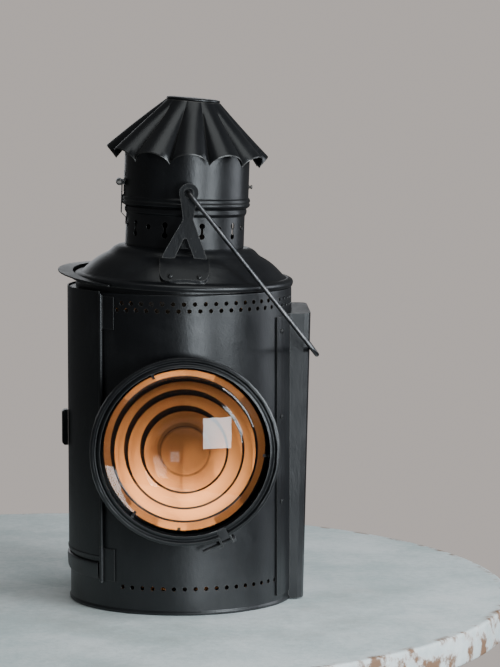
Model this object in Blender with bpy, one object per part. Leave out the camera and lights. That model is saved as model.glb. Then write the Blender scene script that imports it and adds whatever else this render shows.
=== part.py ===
"""Candle signal lantern: a drum body with a stepped lens, a side door, a hinged chimney and a wire bail.

The lantern stands on z = 0 with the drum's axis on Z. The lens looks along -Y and the lamp-iron socket
is at +X. A bearing is an angle round the drum from the front (-Y), positive towards +X.
"""

import math

import bmesh
import bpy
from mathutils import Matrix, Vector

MM = 0.001
DEG = math.pi / 180.0
TURN = 2.0 * math.pi

# Gaps
GAP = 0.3 * MM
HINGE_GAP = 0.3 * MM
SHEET = 1.0 * MM

# Drum
BODY_RADIUS = 84.0 * MM
BODY_HEIGHT = 237.0 * MM
BODY_WALL = 1.2 * MM
BODY_STEPS = 66
BASE_RIM_RADIUS = BODY_RADIUS + 0.9 * MM
BASE_RIM_HEIGHT = 3.0 * MM
NECK_RADIUS = BODY_RADIUS - 5.0 * MM
NECK_HEIGHT = 4.4 * MM
VENT_RADIUS = 1.75 * MM
VENT_DROP = 6.9 * MM
VENT_ROW_PITCH = 5.1 * MM
UPPER_VENT_FIRST = -38.2 * DEG
UPPER_VENT_COUNT = 48
LOWER_VENT_HEIGHT = 19.7 * MM
LOWER_VENT_COUNT = 17
LOWER_VENT_FIRST = -32.7 * DEG

# Lens
LENS_HEIGHT = 124.0 * MM
LENS_FRONT = BODY_RADIUS + 19.0 * MM
BARREL_RADIUS = 63.2 * MM
BEZEL_RADIUS = BARREL_RADIUS + 6.4 * MM
BARREL_WALL = 1.2 * MM
NECK_END_RADIUS = BARREL_RADIUS - 6.7 * MM
NECK_END_REACH = BODY_RADIUS - 26.0 * MM
LENS_SEAT_REACH = LENS_FRONT - 16.8 * MM
LENS_RIM_THICKNESS = 3.5 * MM
LENS_BULGE = 10.5 * MM
LENS_STEP_SHARES = (0.275, 0.473, 0.658, 0.816)
LENS_STEP_DEPTH = 3.3 * MM
CLIP_CLOCKS = (-23.0 * DEG, 94.0 * DEG, 219.0 * DEG)
BAND_WIDTH = 10.5 * MM
BAND_SPLIT_CLOCK = 155.5 * DEG
BAND_SPLIT_HALF = 3.0 * DEG
EAR_HEIGHT = 11.0 * MM
CLAMP_SCREW_LENGTH = 26.0 * MM
CLAMP_SCREW_RADIUS = 1.4 * MM

# Door
DOOR_HINGE_BEARING = -45.0 * DEG
DOOR_FREE_BEARING = -134.0 * DEG
DOOR_BOTTOM = 39.0 * MM
DOOR_RISE = 1.0 * MM
DOOR_WALL = 1.0 * MM
DOOR_OVERLAP = 6.0 * DEG
OPENING_MARGIN = 5.5 * MM
HINGE_PIN_RADIUS = 0.7 * MM
HINGE_KNUCKLE_RADIUS = HINGE_PIN_RADIUS + 0.9 * MM
KNUCKLE_LENGTH = 26.0 * MM
LOWER_KNUCKLE_BOTTOM = 22.0 * MM
PULL_HEIGHT = 27.0 * MM
PULL_MIDDLE = 130.5 * MM
PULL_WIDTH = 8.0 * MM
PULL_REACH = 4.4 * MM
PULL_BEARING = -87.0 * DEG
SILL_HEIGHT = 12.5 * MM
SILL_PROUD = 2.2 * MM

# Dome and chimney, which stand a little crooked on the drum
TOP_LEAN = 2.0 * DEG
TOP_OFFSET = Vector((2.1 * MM, -1.5 * MM, 3.0 * MM))
DOME_RADIUS = BODY_RADIUS - 0.8 * MM
DOME_WALL = 1.0 * MM
RIM_DIP = 1.9 * MM
RIM_DIP_START = DOME_RADIUS - 26.2 * MM
EAVE_START = -42.0 * DEG
EAVE_END = -160.0 * DEG
EAVE_WIDTH = 10.0 * MM
EAVE_RISE = 5.4 * MM
LOWER_TUBE_RADIUS = 43.9 * MM
LOWER_TUBE_TOP = 57.3 * MM
UPPER_TUBE_RADIUS = LOWER_TUBE_RADIUS + 2.3 * MM
UPPER_TUBE_TOP = 97.8 * MM
SPLIT_GAP = 0.5 * MM
BEAD_PROUD = 1.3 * MM
SLOT_COUNT = 10
SLOT_HEIGHT = 12.0 * MM
SLOT_MIDDLE = 41.0 * MM
SLOT_HALF_NECK = 1.0 * MM
SLOT_HALF_END = 2.3 * MM
SLOT_FIRST_BEARING = 14.5 * DEG

# Cowl
FLUTES = 12
COWL_TOP_RADIUS = 20.5 * MM
COWL_TOP = 136.3 * MM
COWL_PEAK_RADIUS = UPPER_TUBE_RADIUS + 14.6 * MM
COWL_PEAK_HEIGHT = 99.1 * MM
COWL_VALLEY_RADIUS = UPPER_TUBE_RADIUS + 9.3 * MM
COWL_VALLEY_HEIGHT = 91.0 * MM
COWL_DROP = 1.2 * MM
COWL_TILT = 3.2 * DEG
COWL_SAG = 2.4 * MM
COWL_APEX_SHIFT = 3.0 * MM
COWL_PIN_OUT = 4.4 * MM
COWL_PIN_HEIGHT = 74.2 * MM
COWL_KNUCKLE_RADIUS = 2.6 * MM
COWL_PIN_RADIUS = 1.2 * MM
COWL_STUD_HEIGHT = 73.0 * MM

# Bail
BRACKET_PLANE = DOME_RADIUS - 24.7 * MM
BRACKET_THICKNESS = 2.0 * MM
BRACKET_HALF_WIDTH = 16.5 * MM
FOOT_HALF_WIDTH = 18.3 * MM
BRACKET_SET = -1.8 * MM
RIVET_SPREAD = 10.7 * MM
EYE_HEIGHT = 70.1 * MM
BAIL_WIRE_RADIUS = 1.75 * MM
EYE_HOLE_RADIUS = BAIL_WIRE_RADIUS + 1.85 * MM
EYE_RADIUS = EYE_HOLE_RADIUS + 3.6 * MM
BAIL_LEG_PLANE = BRACKET_PLANE + 10.5 * MM
BAIL_LEG_LENGTH = 152.0 * MM
BAIL_TAIL = 15.0 * MM
BAIL_EYE_BEND = 4.5 * MM
BAIL_CORNER_BEND = 8.0 * MM

# Lamp-iron socket
SOCKET_HALF_DEPTH = 26.0 * MM
SOCKET_REACH_TOP = BODY_RADIUS + 13.3 * MM
SOCKET_REACH_BOTTOM = BODY_RADIUS + 7.9 * MM
SOCKET_BOTTOM = 1.4 * MM
SOCKET_TOP_FRONT = BODY_HEIGHT - 19.2 * MM
SOCKET_TOP_BACK = BODY_HEIGHT - 15.6 * MM
SOCKET_WALL = 1.5 * MM
SOCKET_EDGE_ROUND = 5.0 * MM
FLANGE_BEARING = 55.5 * DEG
FLANGE_WALL = 1.0 * MM
SOCKET_RIVET_BEARING = 60.2 * DEG
SOCKET_RIVET_HEIGHTS = (BODY_HEIGHT - 159.0 * MM, BODY_HEIGHT - 95.0 * MM, BODY_HEIGHT - 31.0 * MM)
RIVET_RADIUS = 1.9 * MM
RIVET_HEIGHT = 1.1 * MM

# Inside
REFLECTOR_RADIUS = BODY_RADIUS - 6.0 * MM
REFLECTOR_TOP = BODY_HEIGHT - 34.0 * MM
REFLECTOR_START = 60.0 * DEG
REFLECTOR_SWEEP = 146.0 * DEG
BAFFLE_HOLE_RADIUS = LOWER_TUBE_RADIUS - 9.9 * MM
FLUE_COLLAR_HEIGHT = 50.0 * MM
TRAY_RADIUS = 44.0 * MM
TRAY_HEIGHT = 10.0 * MM
CANDLE_RADIUS = 11.0 * MM
CANDLE_TOP = 64.0 * MM
WICK_RADIUS = 0.8 * MM
WICK_TOP = 73.0 * MM


def clear_scene():
    """Remove what the file opens with."""
    for obj in list(bpy.data.objects):
        bpy.data.objects.remove(obj, do_unlink=True)


def make_material(name, colour, roughness, metallic=0.0, transmission=0.0):
    """A Principled material of one finish."""
    material = bpy.data.materials.new(name)
    material.use_nodes = True
    shader = material.node_tree.nodes["Principled BSDF"]
    shader.inputs["Base Color"].default_value = (*colour, 1.0)
    shader.inputs["Roughness"].default_value = roughness
    shader.inputs["Metallic"].default_value = metallic
    shader.inputs["Transmission Weight"].default_value = transmission
    return material


# Placing and meshing helpers


def empty(name, location=(0.0, 0.0, 0.0), rotation=(0.0, 0.0, 0.0), parent=None):
    """A frame that other pieces are parented to."""
    frame = bpy.data.objects.new(name, None)
    frame.location = location
    frame.rotation_euler = rotation
    frame.parent = parent
    bpy.context.scene.collection.objects.link(frame)
    return frame


def mesh_object(name, bm, material=None, parent=None, smooth_angle=35.0 * DEG):
    """Turn a bmesh into an object, faces out and shaded smooth up to an angle."""
    bmesh.ops.recalc_face_normals(bm, faces=bm.faces)
    mesh = bpy.data.meshes.new(name)
    bm.to_mesh(mesh)
    bm.free()
    mesh.shade_smooth()
    mesh.set_sharp_from_angle(angle=smooth_angle)
    if material:
        mesh.materials.append(material)
    obj = bpy.data.objects.new(name, mesh)
    obj.parent = parent
    bpy.context.scene.collection.objects.link(obj)
    return obj


def hide_cutter(obj):
    """Keep a cutter or a joined shape out of the model."""
    obj.hide_render = True
    obj.display_type = "WIRE"
    return obj


def combine(target, other, operation):
    """Cut, join or intersect a piece with a hidden shape."""
    modifier = target.modifiers.new(other.name, "BOOLEAN")
    modifier.operation = operation
    modifier.solver = "EXACT"
    modifier.object = other
    hide_cutter(other)


def turned(outline, steps, start=0.0, sweep=TURN):
    """Spin a closed (radius, height) outline round Z, from one bearing over a sweep."""
    bm = bmesh.new()
    direction = Vector((math.sin(start), -math.cos(start), 0.0))
    ring = [bm.verts.new(direction * radius + Vector((0.0, 0.0, height))) for radius, height in outline]
    edges = [bm.edges.new((ring[i], ring[(i + 1) % len(ring)])) for i in range(len(ring))]
    full = sweep >= TURN
    result = bmesh.ops.spin(
        bm, geom=ring + edges, cent=(0, 0, 0), axis=(0, 0, 1), dvec=(0, 0, 0),
        angle=sweep, steps=steps, use_merge=full, use_duplicate=False,
    )
    if not full:
        last = {item for item in result["geom_last"] if isinstance(item, bmesh.types.BMEdge)}
        for cap in (set(edge for edge in bm.edges if edge.is_boundary) - last, last):
            bmesh.ops.contextual_create(bm, geom=list(cap))
    bmesh.ops.remove_doubles(bm, verts=bm.verts, dist=0.00001)
    return bm


def extruded(outline, near, far, axis="Y"):
    """Extrude a closed (across, up) outline along Y, or an (x, y) outline along Z."""
    bm = bmesh.new()
    if axis == "Y":
        points = [Vector((across, near, up)) for across, up in outline]
        travel = Vector((0.0, far - near, 0.0))
    else:
        points = [Vector((across, up, near)) for across, up in outline]
        travel = Vector((0.0, 0.0, far - near))
    face = bm.faces.new([bm.verts.new(point) for point in points])
    result = bmesh.ops.extrude_face_region(bm, geom=[face], use_keep_orig=True)
    moved = [item for item in result["geom"] if isinstance(item, bmesh.types.BMVert)]
    bmesh.ops.translate(bm, verts=moved, vec=travel)
    return bm


def add_prism(bm, matrix, radius, depth, sides):
    """Add a closed prism about the matrix's Z axis."""
    bmesh.ops.create_cone(
        bm, cap_ends=True, segments=sides, radius1=radius, radius2=radius, depth=depth, matrix=matrix
    )


def arc(centre, radius, first, last, steps):
    """Points on an arc, as (across, up) pairs, both ends included."""
    angles = [first + (last - first) * i / steps for i in range(steps + 1)]
    return [(centre[0] + radius * math.cos(a), centre[1] + radius * math.sin(a)) for a in angles]


def around(bearing, radius, height=0.0):
    """A point at a bearing and radius from the drum's axis."""
    return Vector((radius * math.sin(bearing), -radius * math.cos(bearing), height))


def facing(bearing):
    """A rotation whose Z axis points outwards at a bearing."""
    return Matrix.Rotation(bearing, 4, "Z") @ Matrix.Rotation(90.0 * DEG, 4, "X")


def rivet(name, matrix, material, parent=None):
    """A low domed rivet head that sits on a surface."""
    outline = [(0.0, 0.0), (RIVET_RADIUS, 0.0)]
    outline += [(RIVET_RADIUS * math.cos(a), RIVET_HEIGHT * math.sin(a)) for a in (25 * DEG, 55 * DEG)]
    outline += [(0.0, RIVET_HEIGHT)]
    head = mesh_object(name, turned(outline, 10), material, parent, 60.0 * DEG)
    head.matrix_local = matrix
    return head


# Drum


def body_profile():
    """The drum's wall with its base rim, its shoulder and the neck that rises into the dome."""
    inner = BODY_RADIUS - BODY_WALL
    return [
        (inner, 0.0),
        (BASE_RIM_RADIUS - 0.4 * MM, 0.0),
        (BASE_RIM_RADIUS, BASE_RIM_HEIGHT * 0.5),
        (BODY_RADIUS, BASE_RIM_HEIGHT),
        (BODY_RADIUS, BODY_HEIGHT - 0.6 * MM),
        (BODY_RADIUS - 0.6 * MM, BODY_HEIGHT),
        (NECK_RADIUS, BODY_HEIGHT),
        (NECK_RADIUS, BODY_HEIGHT + NECK_HEIGHT),
        (NECK_RADIUS - SHEET, BODY_HEIGHT + NECK_HEIGHT),
        (NECK_RADIUS - SHEET, BODY_HEIGHT - BODY_WALL),
        (inner, BODY_HEIGHT - BODY_WALL),
    ]


def drum_core(name):
    """A solid drum, a gap larger than the shell, that trims what is fixed to it."""
    bm = bmesh.new()
    middle = Matrix.Translation((0, 0, BODY_HEIGHT / 2))
    add_prism(bm, middle, BODY_RADIUS + GAP, BODY_HEIGHT * 1.3, BODY_STEPS)
    return mesh_object(name, bm)


def vent_bearings():
    """Height and bearing of each vent hole: two staggered rows above, one interrupted row below."""
    pitch = TURN / BODY_STEPS
    top = BODY_HEIGHT - VENT_DROP
    holes = []
    for i in range(UPPER_VENT_COUNT):
        holes.append((top, UPPER_VENT_FIRST + i * pitch))
        holes.append((top - VENT_ROW_PITCH, UPPER_VENT_FIRST + (i + 0.5) * pitch))
    holes += [(LOWER_VENT_HEIGHT, LOWER_VENT_FIRST + i * pitch) for i in range(LOWER_VENT_COUNT)]
    return holes


def vent_cutter():
    """All the vent holes as small hexagonal prisms through the wall."""
    bm = bmesh.new()
    for height, bearing in vent_bearings():
        place = Matrix.Translation(around(bearing, BODY_RADIUS, height)) @ facing(bearing)
        add_prism(bm, place, VENT_RADIUS, 6.0 * MM, 6)
    return mesh_object("vent_cutter", bm)


def lens_opening_cutter():
    """An upright oval through the front of the drum, inside the barrel."""
    half_wide = NECK_END_RADIUS - BARREL_WALL - 1.3 * MM
    half_tall = BARREL_RADIUS - 2.5 * BARREL_WALL
    steps = 40
    outline = [
        (half_wide * math.cos(TURN * i / steps), LENS_HEIGHT + half_tall * math.sin(TURN * i / steps))
        for i in range(steps)
    ]
    return mesh_object("lens_opening_cutter", extruded(outline, -BODY_RADIUS * 1.2, -BODY_RADIUS * 0.4))


def door_opening_cutter():
    """The opening behind the door, smaller than the door all round."""
    inner = BODY_RADIUS - 2.0 * BODY_WALL
    outer = BODY_RADIUS + 2.0 * BODY_WALL
    low = DOOR_BOTTOM + OPENING_MARGIN
    high = BODY_HEIGHT - OPENING_MARGIN
    outline = [(inner, low), (outer, low), (outer, high), (inner, high)]
    start = DOOR_FREE_BEARING + DOOR_OVERLAP
    sweep = DOOR_HINGE_BEARING - DOOR_OVERLAP - start
    return mesh_object("door_opening_cutter", turned(outline, 14, start, sweep))


def build_drum(paint, bare):
    """The perforated drum and its base plate."""
    body = mesh_object("body_shell", turned(body_profile(), BODY_STEPS, TURN / BODY_STEPS / 2), paint)
    for cutter in (vent_cutter(), lens_opening_cutter(), door_opening_cutter()):
        combine(body, cutter, "DIFFERENCE")
    radius = BODY_RADIUS - BODY_WALL - GAP
    outline = [
        (0.0, 0.0), (radius, 0.0), (radius, 8.0 * MM), (radius - SHEET, 8.0 * MM), (radius - SHEET, SHEET),
        (0.0, SHEET),
    ]
    mesh_object("base_plate", turned(outline, 40), bare)


# Dome


def dome_points():
    """The dome's outer side from the chimney out to the rolled rim, as (radius, height)."""
    throat = LOWER_TUBE_RADIUS + GAP + DOME_WALL
    rim = DOME_RADIUS
    return [
        (throat - DOME_WALL, 27.9 * MM),
        (throat + 4.5 * MM, 27.3 * MM),
        (throat + 8.6 * MM, 25.0 * MM),
        (throat + 11.3 * MM, 21.8 * MM),
        (rim - 18.5 * MM, 17.4 * MM),
        (rim - 12.6 * MM, 12.6 * MM),
        (rim - 6.2 * MM, 6.0 * MM),
        (rim - 3.4 * MM, 6.1 * MM),
        (rim - 0.8 * MM, 5.0 * MM),
        (rim, 3.2 * MM),
        (rim - 0.7 * MM, 0.8 * MM),
    ]


def dome_height(radius):
    """The height of the dome's outer side at a radius between its crown and its rim."""
    points = dome_points()
    for (near, high), (far, low) in zip(points, points[1:]):
        if near <= radius <= far:
            return high + (low - high) * (radius - near) / (far - near)
    return points[-1][1]


def offset_points(points, distance):
    """Points moved off a (radius, height) line along its upper side."""
    moved = []
    for i, (radius, height) in enumerate(points):
        before = Vector(points[max(i - 1, 0)])
        after = Vector(points[min(i + 1, len(points) - 1)])
        along = (after - before).normalized()
        moved.append((radius - along.y * distance, height + along.x * distance))
    return moved


def sheet_outline(points, wall):
    """A closed outline of a sheet whose outer side follows the points."""
    return points + list(reversed(offset_points(points, -wall)))


def rim_dip(radius, bearing):
    """How far the dome's rim is bent down at a bearing: down at the front and up at the back."""
    share = max(0.0, (radius - RIM_DIP_START) / (DOME_RADIUS - RIM_DIP_START))
    return -RIM_DIP * share * math.cos(bearing)


def bend_rim(bm):
    """Bend a shape that follows the dome in the same way as the dome's rim."""
    for vert in bm.verts:
        bearing = math.atan2(vert.co.x, -vert.co.y)
        vert.co.z += rim_dip(math.hypot(vert.co.x, vert.co.y), bearing)
    return bm


def build_dome(paint, top):
    """The pressed dome and the crescent eave over the door."""
    mesh_object("dome_top", bend_rim(turned(sheet_outline(dome_points(), DOME_WALL), 44)), paint, top)

    bm = bmesh.new()
    steps = 26
    rings = []
    inner = DOME_RADIUS + GAP * 1.5
    for i in range(steps + 1):
        share = i / steps
        bearing = EAVE_START + (EAVE_END - EAVE_START) * share
        width = 1.4 * MM + EAVE_WIDTH * math.sin(math.pi * share) ** 0.7
        seat = 1.4 * MM + rim_dip(DOME_RADIUS, bearing)
        level = seat + EAVE_RISE * math.sin(90 * DEG * min(1.0, 1.5 * share))
        corners = (
            (inner, seat - 0.6 * MM), (inner + 0.9 * MM, seat - 0.6 * MM), (inner + 0.9 * MM, level),
            (inner + width, level - 0.2 * MM), (inner + width, level + 0.8 * MM), (inner, level + 1.0 * MM),
        )
        rings.append([bm.verts.new(around(bearing, radius, height)) for radius, height in corners])
    for a, b in zip(rings, rings[1:]):
        for j in range(6):
            k = (j + 1) % 6
            bm.faces.new((a[j], a[k], b[k], b[j]))
    bm.faces.new(rings[0])
    bm.faces.new(rings[-1])
    mesh_object("door_eave", bm, paint, top)


# Chimney


def slot_cutter():
    """The dumbbell slots of the lower chimney, with a round hole between each pair."""
    bm = bmesh.new()
    half = SLOT_HEIGHT / 2
    end = 2.6 * MM
    outline = [
        (-SLOT_HALF_END, -half), (SLOT_HALF_END, -half), (SLOT_HALF_END, -half + end),
        (SLOT_HALF_NECK, -half + end + 1.0 * MM), (SLOT_HALF_NECK, half - end - 1.0 * MM),
        (SLOT_HALF_END, half - end), (SLOT_HALF_END, half), (-SLOT_HALF_END, half),
        (-SLOT_HALF_END, half - end), (-SLOT_HALF_NECK, half - end - 1.0 * MM),
        (-SLOT_HALF_NECK, -half + end + 1.0 * MM), (-SLOT_HALF_END, -half + end),
    ]
    pitch = TURN / SLOT_COUNT
    for i in range(SLOT_COUNT):
        bearing = SLOT_FIRST_BEARING + i * pitch
        slot = extruded(outline, -LOWER_TUBE_RADIUS - 3.0 * MM, -LOWER_TUBE_RADIUS + 4.0 * MM)
        place = Matrix.Translation((0.0, 0.0, SLOT_MIDDLE)) @ Matrix.Rotation(bearing, 4, "Z")
        slot.transform(place)
        mesh = bpy.data.meshes.new("slot")
        slot.to_mesh(mesh)
        slot.free()
        bm.from_mesh(mesh)
        bpy.data.meshes.remove(mesh)
        middle = around(bearing + pitch / 2, LOWER_TUBE_RADIUS, SLOT_MIDDLE + 1.9 * MM)
        add_prism(bm, Matrix.Translation(middle) @ facing(bearing + pitch / 2), 2.2 * MM, 6.0 * MM, 6)
    return mesh_object("slot_cutter", bm)


def build_lower_chimney(paint, top):
    """The fixed tube that stands in the dome's throat."""
    radius = LOWER_TUBE_RADIUS
    head = LOWER_TUBE_TOP
    points = [
        (radius, 22.0 * MM),
        (radius, head - 5.2 * MM),
        (radius + BEAD_PROUD * 0.8, head - 4.5 * MM),
        (radius + BEAD_PROUD, head - 3.1 * MM),
        (radius + BEAD_PROUD, head - 1.7 * MM),
        (radius + BEAD_PROUD * 0.7, head - 0.6 * MM),
        (radius, head),
        (radius - SHEET, head),
        (radius - SHEET, 22.0 * MM),
    ]
    tube = mesh_object("lower_chimney", turned(points, 36, 10.0 * DEG), paint, top)
    cutter = slot_cutter()
    cutter.parent = top
    combine(tube, cutter, "DIFFERENCE")


def build_upper_chimney(paint, hinge):
    """The tube that tips back with the cowl."""
    radius = UPPER_TUBE_RADIUS
    foot = LOWER_TUBE_TOP + SPLIT_GAP
    points = [
        (radius - SHEET, foot),
        (radius - 0.2 * MM, foot),
        (radius + BEAD_PROUD * 0.6, foot + 0.8 * MM),
        (radius + BEAD_PROUD, foot + 2.4 * MM),
        (radius + BEAD_PROUD, foot + 4.2 * MM),
        (radius + BEAD_PROUD * 0.6, foot + 5.8 * MM),
        (radius, foot + 6.8 * MM),
        (radius, UPPER_TUBE_TOP),
        (radius - SHEET, UPPER_TUBE_TOP),
    ]
    tube = mesh_object("upper_chimney", turned(points, 36), paint, hinge)
    tube.location = -hinge.location


# Cowl


def cowl_point(bearing, share, drop):
    """A point of the fluted sheet: share runs from the top ring to the brim."""
    lobe = abs(math.cos(FLUTES * bearing / 2)) ** 0.7
    outer = COWL_VALLEY_RADIUS + (COWL_PEAK_RADIUS - COWL_VALLEY_RADIUS) * lobe
    lower = COWL_VALLEY_HEIGHT + (COWL_PEAK_HEIGHT - COWL_VALLEY_HEIGHT) * lobe
    radius = COWL_TOP_RADIUS + (outer - COWL_TOP_RADIUS) * share
    side = math.sin(bearing)
    sag = COWL_SAG * share * side ** 3 + math.tan(COWL_TILT) * (1.0 - share) * radius * side
    height = COWL_TOP + (lower - COWL_TOP) * share - sag - drop
    shift = Vector((COWL_APEX_SHIFT * (1.0 - share), 0.0, 0.0))
    return around(bearing, radius, height) + shift


def build_cowl(paint, hinge):
    """The fluted cowl and the disc that closes its top."""
    place = Matrix.Translation(-hinge.location)

    bm = bmesh.new()
    columns = FLUTES * 6
    rows = 3
    grids = []
    for drop in (0.0, COWL_DROP):
        grids.append([
            [bm.verts.new(cowl_point(TURN * i / columns, j / rows, drop)) for i in range(columns)]
            for j in range(rows + 1)
        ])
    outer, inner = grids
    for i in range(columns):
        k = (i + 1) % columns
        for grid in grids:
            for j in range(rows):
                bm.faces.new((grid[j][i], grid[j + 1][i], grid[j + 1][k], grid[j][k]))
        for j in (0, rows):
            bm.faces.new((outer[j][i], outer[j][k], inner[j][k], inner[j][i]))
    mesh_object("fluted_cowl", bm, paint, hinge).matrix_local = place

    radius = COWL_TOP_RADIUS + 0.4 * MM
    base = GAP * 2
    outline = [
        (0.0, base), (radius - 0.5 * MM, base), (radius, base + 0.5 * MM), (radius, base + 1.2 * MM),
        (radius - 0.6 * MM, base + 1.7 * MM), (radius - 3.0 * MM, base + 2.0 * MM), (0.0, base + 2.6 * MM),
    ]
    disc = mesh_object("cowl_top_disc", turned(outline, 32), paint, hinge)
    apex = Matrix.Translation((COWL_APEX_SHIFT, 0.0, COWL_TOP))
    disc.matrix_local = place @ apex @ Matrix.Rotation(COWL_TILT, 4, "Y")


def pin_hole(name, centre, radius, near, far, parent):
    """A cutter for a hole along Y at an (x, z) centre."""
    bm = bmesh.new()
    place = Matrix.Translation((centre[0], (near + far) / 2, centre[1])) @ Matrix.Rotation(90 * DEG, 4, "X")
    add_prism(bm, place, radius, abs(far - near), 16)
    cutter = mesh_object(name, bm)
    cutter.parent = parent
    return hide_cutter(cutter)


def build_cowl_hinge(paint, bare, top, hinge):
    """The strap on the lower chimney, the leaf on the upper one and the pin between them."""
    pin_x = -UPPER_TUBE_RADIUS - COWL_PIN_OUT
    pin_z = COWL_PIN_HEIGHT
    knuckle = COWL_KNUCKLE_RADIUS
    strap_half = 5.0 * MM
    arm_half = 9.5 * MM
    strap_in = -UPPER_TUBE_RADIUS - BEAD_PROUD - 0.45 * MM
    foot_x = -LOWER_TUBE_RADIUS - GAP

    outline = [(foot_x, 43.0 * MM), (foot_x - SHEET, 42.6 * MM), (foot_x - SHEET, 47.5 * MM)]
    outline += [(strap_in - SHEET, 51.5 * MM), (strap_in - SHEET, pin_z - knuckle)]
    outline += arc((pin_x, pin_z), knuckle, 255 * DEG, 30 * DEG, 12)
    outline += [(strap_in, pin_z - 0.5 * MM), (strap_in, 51.0 * MM), (foot_x, 47.0 * MM)]
    strap = mesh_object("cowl_hinge_strap", extruded(outline, -strap_half, strap_half), paint, top)
    hole_radius = COWL_PIN_RADIUS + HINGE_GAP
    hole = pin_hole("strap_hole", (pin_x, pin_z), hole_radius, -20 * MM, 20 * MM, top)
    combine(strap, hole, "DIFFERENCE")

    inner = UPPER_TUBE_RADIUS + GAP
    low, high = 67.0 * MM, 83.0 * MM
    leaf_outline = [(inner, low), (inner + 0.8 * MM, low), (inner + 0.8 * MM, high), (inner, high)]
    leaf_bearing = -90 * DEG - arm_half / inner
    leaf = mesh_object(
        "cowl_hinge_leaf", turned(leaf_outline, 6, leaf_bearing, 2 * arm_half / inner), paint, hinge
    )
    leaf.location = -hinge.location
    arm = [(-inner - 0.2 * MM, pin_z - 1.6 * MM), (-inner - 0.2 * MM, pin_z + 1.6 * MM)]
    arm += arc((pin_x, pin_z), knuckle - 0.1 * MM, 40 * DEG, 320 * DEG, 12)
    for side in (-1, 1):
        near, far = sorted((side * (strap_half + GAP), side * arm_half))
        piece = mesh_object("leaf_arm_" + ("front" if side < 0 else "rear"), extruded(arm, near, far))
        piece.parent = top
        combine(leaf, piece, "UNION")
    hole = pin_hole("leaf_hole", (pin_x, pin_z), hole_radius, -20 * MM, 20 * MM, top)
    combine(leaf, hole, "DIFFERENCE")

    reach = arm_half + 0.6 * MM
    pin = pin_hole("cowl_hinge_pin", (pin_x, pin_z), COWL_PIN_RADIUS, -reach, reach, top)
    pin.hide_render = False
    pin.display_type = "TEXTURED"
    pin.data.materials.append(bare)


def build_cowl_stud(bare, hinge):
    """The small turned stud at the right of the upper chimney, by which it is tipped back."""
    outline = [
        (0.0, 0.0), (2.2 * MM, 0.0), (2.2 * MM, 0.6 * MM), (1.0 * MM, 0.9 * MM), (1.0 * MM, 1.9 * MM),
        (1.5 * MM, 2.2 * MM), (1.4 * MM, 3.2 * MM), (0.0, 3.5 * MM),
    ]
    stud = mesh_object("cowl_stud", turned(outline, 12), bare, hinge)
    spot = Vector((UPPER_TUBE_RADIUS + GAP, 0.0, COWL_STUD_HEIGHT))
    stud.matrix_local = Matrix.Translation(spot - hinge.location) @ facing(90 * DEG)


# Bail


def bracket_outline():
    """The A-shaped plate: round eye, narrow neck, two legs and the gap between them."""
    foot = dome_height(BRACKET_PLANE) + 1.1 * MM
    lean = BRACKET_SET
    neck = (3.8 * MM, 50.5 * MM)
    eye = (0.0, EYE_HEIGHT)
    half = BRACKET_HALF_WIDTH
    left = [(lean - half, foot), (lean - half + 1.2 * MM, foot + 4.0 * MM), (-neck[0], neck[1])]
    right = [(neck[0], neck[1]), (lean + half - 1.2 * MM, foot + 4.0 * MM), (lean + half, foot)]
    notch = [
        (lean + 7.3 * MM, foot), (lean + 1.3 * MM, 36.5 * MM), (lean - 0.9 * MM, 36.5 * MM),
        (lean - 7.3 * MM, foot),
    ]
    return left + arc(eye, EYE_RADIUS, 212 * DEG, -32 * DEG, 14) + right + notch


def foot_cutter(name, side, top):
    """A rounded upright block that trims the foot to its outline."""
    lean = BRACKET_SET
    near = BRACKET_PLANE - 1.0 * MM
    far = DOME_RADIUS - 6.3 * MM
    half = FOOT_HALF_WIDTH
    corner = 7.0 * MM
    outline = [(lean - half, near)]
    outline += [(lean + half, near)]
    outline += arc((lean + half - corner, far - corner), corner, 0.0, 90 * DEG, 5)
    outline += arc((lean - half + corner, far - corner), corner, 90 * DEG, 180 * DEG, 5)
    outline = [(across, side * out) for across, out in outline]
    block = mesh_object(name, extruded(outline, 0.0, 40.0 * MM, "Z"))
    block.parent = top
    return block


def build_bracket(name, side, paint, top):
    """One bail bracket: an upright eye plate on a foot that follows the dome."""
    plate_near = side * (BRACKET_PLANE - BRACKET_THICKNESS / 2)
    plate_far = side * (BRACKET_PLANE + BRACKET_THICKNESS / 2)
    outer = offset_points(dome_points(), GAP + BRACKET_THICKNESS)[3:7]
    inner = offset_points(dome_points(), GAP)[3:7]
    middle = 0.0 if side < 0 else 180 * DEG
    bent = bend_rim(turned(outer + inner[::-1], 10, middle - 22 * DEG, 44 * DEG))
    foot = mesh_object(name, bent, paint, top)
    combine(foot, foot_cutter(name + "_foot_outline", side, top), "INTERSECT")
    plate = mesh_object(name + "_plate", extruded(bracket_outline(), plate_near, plate_far))
    plate.parent = top
    combine(foot, plate, "UNION")
    hole = pin_hole(name + "_eye", (0.0, EYE_HEIGHT), EYE_HOLE_RADIUS, side * 40 * MM, side * 80 * MM, top)
    combine(foot, hole, "DIFFERENCE")


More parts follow.
